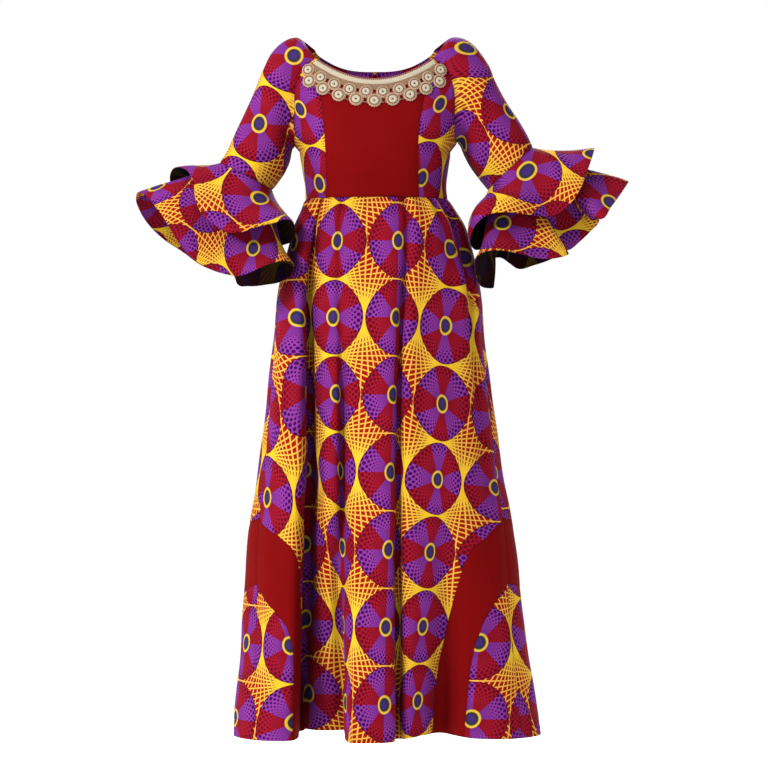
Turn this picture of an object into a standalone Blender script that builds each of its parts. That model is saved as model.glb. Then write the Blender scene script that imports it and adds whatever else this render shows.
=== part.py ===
# A floor-length printed dress with a gathered skirt and two flounces on each sleeve, hollow as if worn.
# Metres, +Z up. The front faces -Y and the shoulders are at the origin.
# Left and right are the viewer's, so +X is right and is the wearer's left.
import math

import bmesh
import bpy
import numpy as np

MM = 0.001
WALL = 1.6 * MM
SEAM_PULL = 0.22 * MM  # each piece stops this far short of its seam line
PRINT = ("wax_print", (0.36, 0.06, 0.12, 1.0), 0.7)
RED = ("plain_red", (0.23, 0.004, 0.005, 1.0), 0.75)
LACE = ("crochet_lace", (0.80, 0.72, 0.56, 1.0), 0.9)

# Bodice
WAIST_HEIGHT = -324 * MM
ARMPIT_HEIGHT = -216.5 * MM
ARMPIT_RISE = {-1: 0.0, 1: 8.5 * MM}  # the right armpit is a little higher
BODY_POWER = 2.4  # above 2 the body's section is squarer than an ellipse
TORSO = (
    # height, middle x, half width, front depth, back depth
    (0, 0, 178, 34, 40),
    (-30, 0, 186, 55, 58),
    (-60, 0, 190, 70, 72),
    (-93, 0, 191, 84, 84),
    (-130, 0, 188, 100, 92),
    (-170, 0, 177, 114, 95),
    (-200, 0, 166, 122, 94),
    (-216.5, 0, 159.5, 125, 93),
    (-224, 0, 151.5, 126, 92),
    (-240, 1, 148, 127, 89),
    (-270, 2, 143.5, 121, 85),
    (-300, 3, 140, 109, 83),
    (-324, 4, 141.5, 100, 83),
)
NECK = {
    "front_drop": 90 * MM,
    "front_rise": 44.5 * MM,
    "front_half": 117 * MM,
    "back_drop": 60.5 * MM,
    "back_rise": 41 * MM,
    "back_half": 120 * MM,
    "back_power": 3,
}
SHOULDER_POINT = (141 * MM, 0.0, -7 * MM)
NECK_BULGE = (4.5 * MM, 3.5 * MM, 4 * MM)
RAGLAN_FRONT = (
    # distance from the middle, height
    (117, -45.5),
    (134, -62),
    (148, -81),
    (157, -106),
    (159, -134),
    (158.5, -166),
    (158.5, -193),
    (159.2, -209),
)
RAGLAN_BACK = (
    # distance from the middle, height
    (120, -19.5),
    (138, -42),
    (150, -71),
    (156, -105),
    (158, -134),
    (158.5, -166),
    (158.5, -193),
    (159.2, -209),
)
SIDE_ROWS = (-224, -237, -256, -280, -303, -324)
PRINCESS = (
    # height, left seam x, right seam x
    (-324, -94, 88),
    (-218, -97, 86),
    (-190, -99, 88),
    (-128, -104, 97),
    (-50, -104, 101),
)

# Sleeves, one row for each ring from the shoulder down to the elbow
SLEEVE_LEFT = (
    # outer x, outer z, inner x, inner z, front depth, back depth, forward
    (-158, -1, -160.2, -217.6, 62, 60, 0),
    (-183, -10, -162, -219, 64, 62, 0),
    (-208, -33, -163.5, -220.5, 66, 64, 0),
    (-225, -70, -165.5, -223, 66, 64, 1),
    (-239, -106, -167.5, -232, 65, 63, 3),
    (-258, -148, -170.5, -248, 63, 61, 6),
    (-280, -198, -179, -269, 60, 58, 10),
    (-293, -226, -190.5, -287, 58, 57, 13),
    (-308, -251, -204.5, -304.5, 57, 57, 15),
)
SLEEVE_RIGHT = (
    # outer x, outer z, inner x, inner z, front depth, back depth, forward
    (158, 0, 164.8, -209, 62, 60, 0),
    (181, -4, 167.2, -210.8, 64, 62, 0),
    (204, -21, 170, -213.5, 66, 64, 0),
    (227, -54, 173.5, -218.5, 67, 65, 1),
    (240, -86, 176.5, -227, 67, 65, 3),
    (261, -124, 181.5, -239, 65, 63, 6),
    (282, -158, 192, -258, 62, 60, 10),
    (302, -192, 209, -282, 60, 59, 13),
    (315, -220.5, 226, -304.5, 59, 59, 15),
)
NECK_COLUMNS = 3
ROOT_FADE = 4  # rings over which the armhole's own outline turns into an oval

# Flounces: hem points all round, where 0 is the outer end and 90 the front
UPPER_LEFT = (
    # ring angle, x, height, y
    (0, -393, -268, -10),
    (14, -375, -274, -35),
    (30, -358, -296, -65),
    (46, -353, -330, -90),
    (62, -341, -358, -105),
    (78, -319, -379, -115),
    (94, -287, -399, -125),
    (110, -257, -399, -130),
    (128, -226, -390, -135),
    (146, -196, -384, -135),
    (160, -171, -377, -120),
    (172, -164, -392, -85),
    (184, -167, -408, -45),
    (200, -190, -416, 10),
    (220, -236, -421, 70),
    (245, -299, -405, 115),
    (270, -357, -373, 130),
    (295, -393, -337, 120),
    (318, -412, -306, 90),
    (336, -415, -284, 60),
    (350, -409, -272, 30),
)
LOWER_LEFT = (
    # ring angle, x, height, y
    (0, -473, -309, -8),
    (14, -452, -319, -40),
    (28, -438, -335, -70),
    (42, -420, -357, -95),
    (54, -405, -380, -110),
    (66, -389, -407, -115),
    (78, -362, -441, -115),
    (92, -326, -465, -120),
    (106, -286, -478, -130),
    (118, -267, -481, -135),
    (130, -243, -474, -140),
    (144, -215, -461, -145),
    (158, -186, -452, -145),
    (170, -163, -452, -125),
    (182, -158, -462, -100),
    (196, -165, -477, -75),
    (210, -183, -488, -55),
    (224, -217, -494, -10),
    (238, -253, -495, 45),
    (249, -278, -489, 85),
    (256, -286, -472, 100),
    (264, -315, -464, 120),
    (276, -351, -451, 130),
    (292, -392, -422, 125),
    (308, -430, -397, 110),
    (324, -459, -368, 85),
    (340, -474, -342, 50),
    (352, -479, -321, 18),
)
UPPER_RIGHT = (
    # ring angle, x, height, y
    (0, 440, -231, -8),
    (12, 429, -257, -40),
    (24, 418, -282, -65),
    (36, 407, -309, -85),
    (50, 389, -337, -95),
    (64, 367, -355, -92),
    (78, 344, -365, -95),
    (92, 315, -367, -115),
    (108, 283, -365, -135),
    (124, 251, -364, -145),
    (138, 228, -368, -145),
    (152, 210, -380, -130),
    (166, 200, -397, -105),
    (180, 197, -414, -80),
    (192, 205, -425, -50),
    (208, 229, -421, 12),
    (228, 268, -407, 70),
    (250, 316, -381, 105),
    (272, 364, -345, 125),
    (294, 404, -303, 115),
    (316, 429, -266, 85),
    (338, 440, -240, 45),
)
LOWER_RIGHT = (
    # ring angle, x, height, y
    (0, 508, -287, -6),
    (12, 488, -316, -40),
    (24, 467, -343, -74),
    (32, 448, -367, -94),
    (38, 434, -366, -78),
    (42, 431, -369, -58),
    (47, 447, -369, -30),
    (55, 429, -389, -32),
    (63, 408, -409, -46),
    (71, 387, -426, -62),
    (77, 372, -428, -82),
    (84, 382, -436, -108),
    (94, 357, -445, -130),
    (106, 325, -447, -145),
    (118, 292, -440, -155),
    (130, 260, -433, -165),
    (142, 231, -431, -165),
    (153, 209, -436, -150),
    (163, 197, -447, -130),
    (171, 197, -464, -105),
    (179, 202, -483, -75),
    (187, 211, -498, -45),
    (195, 226, -501, -20),
    (201, 237, -499, -4),
    (208, 236, -474, 8),
    (215, 237, -441, 18),
    (224, 252, -438, 32),
    (233, 271, -448, 52),
    (242, 290, -459, 72),
    (252, 322, -451, 96),
    (264, 364, -435, 120),
    (278, 403, -410, 125),
    (292, 435, -380, 120),
    (308, 464, -345, 100),
    (326, 488, -313, 70),
    (344, 504, -293, 30),
)
FLOUNCE_ROWS = 3
PUFF_LEFT = (6 * MM, 4 * MM)  # how far the upper flounce is rounded out, at the outer end and by the body
PUFF_RIGHT = (6 * MM, 19 * MM)
SAG = (4 * MM, -7 * MM)  # the lower flounce sinks in below it
CALM_PASSES = 24  # how far the waves of a hem are smoothed towards its seam

# Skirt
HEM_HEIGHT = -1391 * MM
STATIONS = (0.0, 0.221, 0.559, 1.0)  # shares of the way from waist to hem
HEM_LIFTS = (
    # row of FOLDS, how far the hem is raised there
    (0, -4),
    (3, -1),
    (5, 10.5),
    (8, 12),
    (9.2, 0),
    (13, 1),
    (14, 5),
    (15, 9),
    (16, 9),
    (17.5, 2),
    (20, 0),
    (41, -4),
)
FULLNESS = (
    # height, how much wider the left side is than the folds give, and the right side
    (-324, 0, 0),
    (-345, 0.017, 0.055),
    (-372, 0.052, 0.112),
    (-410, 0.052, 0.107),
    (-488, 0.038, 0.062),
    (-596, -0.023, -0.026),
    (-692, -0.036, -0.036),
    (-788, -0.021, -0.017),
    (-884, -0.004, 0.002),
    (-954, 0.017, 0.020),
    (-1028, 0.021, 0.018),
    (-1124, 0.012, 0.003),
    (-1391, 0.006, 0),
)
FOLDS = (
    # waist x, inset at the waist; then x and y at each lower station, from the left side seam by the front
    (-137.5, 0, -197, -18, -222, -50, -238, -78),
    (-131, 0, -178, -70, -197, -92, -204, -104),
    (-112, 0, -143, -93, -146, -112, -160, -104),
    (-106, 3, -136, -82, -137, -98, -152, -82),
    (-102, 8, -140, -54, -146, -38, -154, 5),
    (-98, 4, -130, -57, -134, -35, -138, -8),
    (-90, 0, -116, -88, -108, -92, -114, -40),
    (-80, 0, -96, -110, -90, -120, -80, -46),
    (-71, 1, -76, -118, -73, -120, -60, -42),
    (-64, 3, -67, -116, -63, -104, -54, -146),
    (-55, 0, -55, -122, -50, -130, -42, -166),
    (-8, 0, -8, -134, -12, -151, -6, -171),
    (52, 0, 46, -133, 36, -150, 34, -158),
    (58, 4, 54, -126, 46, -137, 48, -112),
    (65, 0, 62, -130, 56, -145, 62, -134),
    (90, 0, 99, -120, 106, -140, 92, -116),
    (106, 0, 128, -108, 138, -128, 131, -66),
    (114, 0, 152, -96, 170, -118, 172, -96),
    (121, 0, 184, -76, 205, -98, 212, -108),
    (125, 9, 187, -54, 219, -84, 240, -106),
    (132, 2, 199, -50, 230, -75, 264, -98),
    (145.5, 0, 213, -14, 246, -48, 290, -80),
    # then round the back, to the left side again
    (143.5, 0, 217, 10, 262, -6, 322, -42),
    (137, 0, 208, 44, 260, 36, 333, 8),
    (124, 0, 187, 72, 236, 82, 317, 62),
    (111, 4, 165, 82, 207, 93, 275, 81),
    (96, 0, 142, 107, 180, 131, 246, 136),
    (79, 5, 113, 102, 146, 117, 200, 120),
    (62, 0, 88, 124, 112, 158, 156, 184),
    (44, 5, 58, 109, 76, 135, 106, 144),
    (24, 0, 31, 128, 39, 167, 58, 198),
    (1, 5, 0, 112, -4, 138, 8, 142),
    (-19, 0, -26, 126, -38, 164, -48, 196),
    (-37, 4, -52, 112, -70, 136, -94, 142),
    (-60, 0, -86, 123, -110, 155, -144, 179),
    (-79, 5, -110, 99, -140, 114, -178, 120),
    (-98, 0, -138, 100, -170, 121, -214, 132),
    (-114, 4, -159, 74, -193, 83, -236, 76),
    (-126, 0, -181, 60, -221, 66, -266, 62),
    (-135, 0, -196, 24, -239, 24, -281, 10),
    (-136, 0, -199, -2, -236, -18, -268, -40),
)
SIDE_BLEND = 60 * MM
RIGHT_SEAM = 21  # row of FOLDS on which the right side seam runs, the left one is on row 0
TURN = len(FOLDS)
TOP_ROWS = (-324, -385, -460, -550, -655, -765, -865, -957)
INNER_ROWS = (-957, -966, -987, -1012, -1048, -1100, -1170, -1250, -1391)
OUTER_ROWS = (-1087, -1097, -1113, -1134, -1166, -1205, -1250, -1310, -1391)
CORNER_TIP = -1089.5
BAND_COLUMNS = 4
CROWDING = 0.1  # rows of FOLDS between columns that are pushed aside by a band
BAND_INNER = (
    # height, then the place in rows of FOLDS: front left, front right, back right, back left
    (-957, 0, 21, 21, 41),
    (-966, 0.25, 20.6, 22.4, 39.6),
    (-987, 1.25, 18.9, 24.3, 38.2),
    (-1012, 1.75, 17.5, 25.3, 37.2),
    (-1048, 2.2, 17.0, 26.1, 36.3),
    (-1100, 2.55, 16.63, 26.8, 35.6),
    (-1170, 2.85, 16.2, 27.3, 35.1),
    (-1250, 3.1, 15.83, 27.6, 34.8),
    (-1391, 3.4, 15.62, 27.9, 34.5),
)
BAND_OUTER = (
    # height, then the place in rows of FOLDS: front left, front right, back right, back left
    (-1087, 0, 21, 21, 41),
    (-1097, 0.21, 20.58, 22.2, 40.0),
    (-1113, 0.55, 19.9, 23.2, 39.2),
    (-1134, 1.1, 19.0, 24.0, 38.5),
    (-1166, 1.6, 18.1, 24.7, 37.8),
    (-1205, 1.86, 17.68, 25.3, 37.2),
    (-1250, 1.95, 17.45, 25.7, 36.8),
    (-1391, 2.0, 17.1, 26.0, 36.5),
)
FRONT_LEFT, FRONT_RIGHT, BACK_RIGHT, BACK_LEFT = 1, 2, 3, 4  # columns of the two tables above
FRONT_FIXED = (4, 15)
BACK_FIXED = (29, 34)

# Lace on the front neck edge
LACE_LIFT = 1.0 * MM
LACE_WALL = 1.5 * MM
LACE_ENDS = (-113 * MM, 113 * MM)
LACE_DEPTH = 47 * MM
SCALLOPS = 9
SCALLOP_DEPTH = 9 * MM
SCALLOP_COLUMNS = 6


def blend(stations, values, where):
    """Smooth values through rising stations. values has one row for each station."""
    stations = np.asarray(stations, float)
    values = np.asarray(values, float)
    where = np.asarray(where, float)
    slopes = np.gradient(values, stations, axis=0)
    low = np.clip(np.searchsorted(stations, where, side="right") - 1, 0, len(stations) - 2)
    span = stations[low + 1] - stations[low]
    extra = (1,) * (values.ndim - 1)
    t = ((where - stations[low]) / span).reshape(where.shape + extra)
    span = span.reshape(where.shape + extra)
    return (
        values[low] * (1 + 2 * t) * (1 - t) ** 2
        + slopes[low] * span * t * (1 - t) ** 2
        + values[low + 1] * t * t * (3 - 2 * t)
        + slopes[low + 1] * span * t * t * (t - 1)
    )


def length(vectors):
    return np.maximum(np.linalg.norm(vectors, axis=-1, keepdims=True), 1e-9)


def unit(vectors):
    return vectors / length(vectors)


def round_through(nodes, place):
    """Points at a place on closed curves, one curve a point, rounded through nodes (points, node, axes)."""
    count = nodes.shape[-2]
    first = np.floor(place).astype(int)
    t = (place - first)[..., None]

    def node(step):
        index = ((first + step) % count)[..., None, None]
        return np.take_along_axis(nodes, index, axis=-2)[..., 0, :]

    before, start, end, after = node(-1), node(0), node(1), node(2)

    def heading(a, b):
        return unit(a / length(a) * length(b) + b / length(b) * length(a))

    step = length(end - start)
    leave = heading(start - before, end - start) * step
    arrive = heading(end - start, after - end) * step
    return (
        start * (1 + 2 * t) * (1 - t) ** 2
        + leave * t * (1 - t) ** 2
        + end * t * t * (3 - 2 * t)
        + arrive * t * t * (t - 1)
    )


# Bodice surface


def body_size(height):
    """Middle x, half width, front depth and back depth at each height."""
    rows = np.array(TORSO[::-1]) * MM
    return np.moveaxis(blend(rows[:, 0], rows[:, 1:], height), -1, 0)


def body(angle, height):
    """A point of the body: angle 0 is the centre front and a quarter turn the right side."""
    middle, half, front, back = body_size(height)
    depth = np.where(np.cos(angle) >= 0, front, back)
    across = np.abs(np.sin(angle)) / half
    along = np.abs(np.cos(angle)) / depth
    radius = (across**BODY_POWER + along**BODY_POWER) ** (-1 / BODY_POWER)
    return np.stack([middle + radius * np.sin(angle), -radius * np.cos(angle), height + 0 * angle], -1)


def body_depth(x, height, back):
    """How far the body stands before or behind the middle at x."""
    middle, half, front, rear = body_size(height)
    share = np.clip(np.abs(x - middle) / half, 0, 1)
    return (rear if back else front) * (1 - share**BODY_POWER) ** (1 / BODY_POWER)


def body_angle(x, height, back=False):
    depth = body_depth(x, height, back)
    middle = body_size(height)[0]
    return np.arctan2(x - middle, -depth if back else depth)


def neck_front(x):
    return -NECK["front_drop"] + NECK["front_rise"] * (np.abs(x) / NECK["front_half"]) ** 2


def neck_back(x):
    share = np.abs(x) / NECK["back_half"]
    return -NECK["back_drop"] + NECK["back_rise"] * share ** NECK["back_power"]


def outer_edge(raglan, side, back):
    """Angle and height down the armhole seam and then the side seam."""
    rows = np.array(raglan) * MM
    quarter = side * math.pi / 2
    rows[:, 1] += ARMPIT_RISE[side] * (rows[:, 1] / ARMPIT_HEIGHT) ** 3
    armpit = ARMPIT_HEIGHT + ARMPIT_RISE[side]
    heights = list(rows[:, 1]) + [armpit] + [z * MM for z in SIDE_ROWS]
    angles = [body_angle(side * x, z, back) for x, z in rows] + [quarter] * (1 + len(SIDE_ROWS))
    angles = np.array(angles)
    if back:
        angles = np.where(angles * side < 0, angles + side * 2 * math.pi, angles)
    return np.stack([angles, np.array(heights)], 1)


def inner_edge(outer, top, place):
    """The other side edge of a panel, with its rows spaced as on the outer edge. place gives the angle."""
    share = (outer[:, 1] - outer[0, 1]) / (WAIST_HEIGHT - outer[0, 1])
    heights = top + (WAIST_HEIGHT - top) * share
    return np.stack([np.array([place(z) for z in heights]), heights], 1)


def princess(side):
    rows = np.array(PRINCESS) * MM
    column = 1 if side < 0 else 2
    seam_x = lambda z: float(blend(rows[:, 0], rows[:, column], np.array(z)))
    top = neck_front(seam_x(-50 * MM))
    return lambda outer: inner_edge(outer, top, lambda z: body_angle(seam_x(z), z))


def bodice_panel(left, right, top, columns):
    """Grid of points between two side edges. top gives the neck height at x."""
    share = np.linspace(0, 1, columns + 1)[None, :]
    angle = left[:, :1] * (1 - share) + right[:, :1] * share
    height = left[:, 1:] * (1 - share) + right[:, 1:] * share
    down = (height - height[:1]) / (height[-1:] - height[:1])
    for _ in range(3):
        wanted = top(body(angle[:1], height[:1])[..., 0])
        height = height + (wanted - height[:1]) * (1 - down)
    return body(angle, height), body_normal(angle, height)


def body_normal(angle, height):
    step = 0.002
    across = body(angle + step, height) - body(angle - step, height)
    down = body(angle, height - step * 0.1) - body(angle, height + step * 0.1)
    return unit(np.cross(down, across))


# Building a wall from a grid of outer points


def grid_normals(points, closed):
    """Normals of a grid, to the left of its columns seen down its rows."""
    if closed:
        across = np.roll(points, -1, 1) - np.roll(points, 1, 1)
    else:
        across = np.gradient(points, axis=1)
    return unit(np.cross(np.gradient(points, axis=0), across))


def inward(edge, inside, normals):
    """Directions that lie in the surface, across an edge and towards the points beside it."""
    across = unit(np.cross(np.gradient(edge, axis=0), normals))
    return across * np.where(((inside - edge) * across).sum(-1, keepdims=True) < 0, -1, 1)


def pull_in(points, normals, closed=False, top=True, bottom=True):
    """The grid with its edges moved in a little, so that it stays clear of its neighbours."""
    moved = points.copy()
    if top:
        moved[0] += inward(points[0], points[1], normals[0]) * SEAM_PULL
    if bottom:
        moved[-1] += inward(points[-1], points[-2], normals[-1]) * SEAM_PULL
    if not closed:
        moved[:, 0] += inward(points[:, 0], points[:, 1], normals[:, 0]) * SEAM_PULL
        moved[:, -1] += inward(points[:, -1], points[:, -2], normals[:, -1]) * SEAM_PULL
    return moved


def add_wall(name, outer, normals, finish, closed=False, thick=WALL):
    """One closed solid between a grid of outer points and the same grid moved in."""
    rows, columns = outer.shape[:2]
    inner = outer - normals * thick
    points = np.concatenate([outer.reshape(-1, 3), inner.reshape(-1, 3)])
    below = rows * columns
    faces = []

    def number(row, column):
        return row * columns + column % columns

    for row in range(rows - 1):
        for column in range(columns if closed else columns - 1):
            a, b = number(row, column), number(row, column + 1)
            d, c = number(row + 1, column), number(row + 1, column + 1)
            if np.linalg.norm(points[a] - points[c]) < np.linalg.norm(points[b] - points[d]):
                halves = ((a, b, c), (a, c, d))
            else:
                halves = ((a, b, d), (b, c, d))
            for p, q, r in halves:
                faces.append((p, q, r))
                faces.append((r + below, q + below, p + below))
    rim = []
    for column in range(columns if closed else columns - 1):
        rim.append((number(0, column + 1), number(0, column)))
        rim.append((number(rows - 1, column), number(rows - 1, column + 1)))
    if not closed:
        for row in range(rows - 1):
            rim.append((number(row, 0), number(row + 1, 0)))
            rim.append((number(row + 1, columns - 1), number(row, columns - 1)))
    for a, b in rim:
        if points[a][2] > points[b][2]:
            faces += [(a, b, b + below), (a, b + below, a + below)]
        else:
            faces += [(a, b, a + below), (b, b + below, a + below)]
    mesh = bpy.data.meshes.new(name)
    mesh.from_pydata(points.tolist(), [], faces)
    shape = bmesh.new()
    shape.from_mesh(mesh)
    bmesh.ops.recalc_face_normals(shape, faces=shape.faces)
    shape.to_mesh(mesh)
    shape.free()
    mesh.materials.append(finish_material(*finish))
    mesh.shade_smooth()
    piece = bpy.data.objects.new(name, mesh)
    bpy.context.scene.collection.objects.link(piece)
    return piece


def finish_material(name, colour, roughness):
    if name in bpy.data.materials:
        return bpy.data.materials[name]
    material = bpy.data.materials.new(name)
    material.use_nodes = True
    shader = material.node_tree.nodes["Principled BSDF"]
    shader.inputs["Base Color"].default_value = colour
    shader.inputs["Roughness"].default_value = roughness
    shader.inputs["Metallic"].default_value = 0.0
    return material


# Sleeves


def mixed(start, end, share):
    return np.asarray(start) * (1 - share) + np.asarray(end) * share


def neck_edge(side, back):
    """The shoulder's half of the neck edge, from the shoulder point to the armhole seam."""
    x, z = np.array((RAGLAN_BACK if back else RAGLAN_FRONT)[0]) * MM
    depth = float(body_depth(x, z, back))
    corner = np.array([x, depth if back else -depth, z])
    bulge = np.array(NECK_BULGE) * (1, 1 if back else -1, 1)
    shares = np.linspace(0, 1, NECK_COLUMNS + 1)
    points = [mixed(SHOULDER_POINT, corner, s) + bulge * math.sin(math.pi * s) for s in shares]
    return np.array(points) * (side, 1, 1)


def sleeve_root(side):
    """The sleeve's first loop: neck edge, front seam, armpit, back seam and neck edge."""
    front = outer_edge(RAGLAN_FRONT, side, False)[: len(RAGLAN_FRONT) + 1]
    back = outer_edge(RAGLAN_BACK, side, True)[: len(RAGLAN_BACK) + 1]
    front_points = body(front[:, 0], front[:, 1])
    back_points = body(back[:, 0], back[:, 1])
    front_half = np.concatenate([neck_edge(side, False), front_points[1:]])
    back_half = np.concatenate([neck_edge(side, True), back_points[1:]])
    return front_half, back_half


def half_angles(points):
    steps = np.linalg.norm(np.diff(points, axis=0), axis=1)
    return np.concatenate([[0], np.cumsum(steps)]) / steps.sum() * math.pi


def oval(ring, angle):
    """A ring of the arm: angle 0 is its outer side, a quarter turn the front."""
    outer_x, outer_z, inner_x, inner_z, front, back, forward = np.array(ring) * MM
    middle = np.array([(outer_x + inner_x) / 2, -forward, (outer_z + inner_z) / 2])
    reach = np.array([(outer_x - inner_x) / 2, 0, (outer_z - inner_z) / 2])
    depth = np.where(np.sin(angle) >= 0, front, back)
    sideways = np.stack([0 * angle, -depth * np.sin(angle), 0 * angle], -1)
    return middle + reach * np.cos(angle)[..., None] + sideways


def sleeve_grid(side, rings):
    front_half, back_half = sleeve_root(side)
    root = np.concatenate([front_half, back_half[-2:0:-1]])
    angles = np.concatenate([half_angles(front_half), 2 * math.pi - half_angles(back_half)[-2:0:-1]])
    armpit = front_half[-1] / MM
    shoulder = np.array(SHOULDER_POINT) / MM * (side, 1, 1)
    base = (shoulder[0], shoulder[2], armpit[0], armpit[2], rings[0][4], rings[0][5], 0)
    own_outline = root - oval(base, angles)
    rows = [root]
    for number, ring in enumerate(rings, start=1):
        rows.append(oval(ring, angles) + own_outline * max(0.0, 1 - number / ROOT_FADE))
    return np.array(rows)


def seam_normals(side, back):
    """Body normals on the armhole seam, for the two pieces that meet there."""
    edge = outer_edge(RAGLAN_BACK if back else RAGLAN_FRONT, side, back)
    edge = edge[: len(RAGLAN_FRONT) + 1]
    return body_normal(edge[:, 0], edge[:, 1])


def make_sleeve(name, side, rings):
    grid = sleeve_grid(side, rings)
    normals = outward(grid_normals(grid, True), grid, True)
    count = len(RAGLAN_FRONT) + 1
    for back in (False, True):
        rows = NECK_COLUMNS + np.arange(count)
        if back:
            rows = (grid.shape[1] - rows) % grid.shape[1]
        shared = unit(normals[0, rows] + seam_normals(side, back))
        normals[0, rows] = shared
        ARMHOLE_NORMALS[side, back] = shared
    armpit = NECK_COLUMNS + count - 1
    both = unit(ARMHOLE_NORMALS[side, False][-1] + ARMHOLE_NORMALS[side, True][-1])
    normals[0, armpit] = both
    ARMHOLE_NORMALS[side, False][-1] = both
    ARMHOLE_NORMALS[side, True][-1] = both
    add_wall(name, pull_in(grid, normals, True, bottom=False), normals, PRINT, closed=True)


def outward(normals, grid, closed):
    """Normals turned to point away from the middle of a tube."""
    away = grid - grid.mean(axis=1, keepdims=True)
    return normals if (normals * away).sum() > 0 else -normals


ARMHOLE_NORMALS = {}


# Bodice pieces


def with_armhole(normals, side, back, column):
    """Panel normals with the ones it shares with the sleeve."""
    shared = ARMHOLE_NORMALS[side, back]
    normals[: len(shared), column] = shared
    return normals


def make_bodice():
    edges = {}
    for side in (-1, 1):
        edges[side, "front"] = outer_edge(RAGLAN_FRONT, side, False)
        edges[side, "back"] = outer_edge(RAGLAN_BACK, side, True)
        edges[side, "princess"] = princess(side)(edges[side, "front"])
    grid, normals = bodice_panel(edges[-1, "princess"], edges[1, "princess"], neck_front, 8)
    add_wall("bodice_front_centre", pull_in(grid, normals), normals, RED)
    for side, word in ((-1, "left"), (1, "right")):
        grid, normals = bodice_panel(edges[side, "front"], edges[side, "princess"], neck_front, 5)
        with_armhole(normals, side, False, 0)
        add_wall("bodice_side_" + word, pull_in(grid, normals), normals, PRINT)
        outer = edges[side, "back"]
        centre = inner_edge(outer, neck_back(0.0), lambda z, turn=side: turn * math.pi)
        grid, normals = bodice_panel(outer, centre, neck_back, 8)
        with_armhole(normals, side, True, 0)
        add_wall("bodice_back_" + word, pull_in(grid, normals), normals, PRINT)


# Flounces


def flounce_grid(ring, table, inset, drop, puff):
    """Rows of points from the sleeve end to a hem. puff rounds the wall at the outer end and by the body."""
    rows = np.array(table, float)
    half_steps = np.arange(0, len(rows), 0.5)
    hem = round_through(np.repeat(rows[None, :, 1:] * MM, len(half_steps), 0), half_steps)
    turn = np.append(rows[:, 0], 360.0)
    angle = np.radians(np.interp(half_steps, np.arange(len(rows) + 1), turn))
    start = oval(ring, angle)
    middle = oval(ring, np.array([0.0, math.pi])).mean(axis=0)
    reach = oval(ring, np.array([0.0]))[0] - middle
    axis = unit(np.array([-abs(reach[2]) * np.sign(-reach[0]), 0, -abs(reach[0])]))
    away = unit(start - middle)
    start = start - away * inset + axis * drop
    hem = hem[:, [0, 2, 1]]
    share = np.linspace(0, 1, FLOUNCE_ROWS + 1)[:, None, None]
    calm = hem
    for _ in range(CALM_PASSES):
        calm = (np.roll(calm, 1, 0) + 2 * calm + np.roll(calm, -1, 0)) / 4
    grid = start * (1 - share) + (calm + (hem - calm) * share) * share
    normals = outward(grid_normals(grid, True), grid, True)
    rounding = mixed(puff[0], puff[1], (1 - np.cos(angle)) / 2)[None, :, None]
    return grid + normals * (6.75 * share**2 * (1 - share) * rounding)


def make_flounce(name, ring, table, inset, drop, puff):
    grid = flounce_grid(ring, table, inset, drop, puff)
    normals = outward(grid_normals(grid, True), grid, True)
    add_wall(name, grid, normals, PRINT, closed=True)


# Skirt


def skirt_nodes():
    """Fold points at the waist and the three lower stations, as (station, fold, 2)."""
    table = np.array(FOLDS, float) * MM
    waist = np.array(WAIST_HEIGHT)
    stations = np.empty((len(STATIONS), TURN, 2))
    for number, row in enumerate(table):
        x, inset = row[:2]
        back = number > RIGHT_SEAM
        depth = float(body_depth(np.array(x), waist, back)) - inset
        stations[0, number] = (x, depth if back else -depth)
    stations[1:] = table[:, 2:].reshape(TURN, 3, 2).swapaxes(0, 1)
    return stations


def skirt(place, height):
    """A point of the skirt: place runs along the rows of FOLDS, height is its nominal height."""
    place, height = np.broadcast_arrays(np.asarray(place, float), np.asarray(height, float))
    share = (height - WAIST_HEIGHT) / (HEM_HEIGHT - WAIST_HEIGHT)
    nodes = blend(STATIONS, skirt_nodes(), share)
    spot = round_through(nodes, place)
    fuller = np.array(FULLNESS[::-1])
    sides = blend(fuller[:, 0] * MM, fuller[:, 1:], height)
    wider = mixed(sides[..., 0], sides[..., 1], 0.5 + 0.5 * np.tanh(spot[..., 0] / SIDE_BLEND))
    lifts = np.array(HEM_LIFTS) * (1, MM)
    lift = np.interp(place % TURN, lifts[:, 0], lifts[:, 1]) * share**2
    return np.stack([spot[..., 0] * (1 + wider), spot[..., 1], height + lift], -1)


def skirt_normal(place, height):
    step = 0.01
    across = skirt(place + step, height) - skirt(place - step, height)
    down = skirt(place, height - step * 0.1) - skirt(place, height + step * 0.1)
    return unit(np.cross(down, across))


def add_skirt_wall(name, place, height, finish):
    """A piece of the skirt from its places and its heights in millimetres."""
    normals = skirt_normal(place, height * MM)
    grid = pull_in(skirt(place, height * MM), normals, bottom=False)
    add_wall(name, grid, normals, finish)


def place_on(edge, corner, heights):
    """Places of a band's edge at some heights."""
    rows = np.array(edge, float)[::-1]
    return np.interp(np.asarray(heights, float), rows[:, 0], rows[:, corner])


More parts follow.
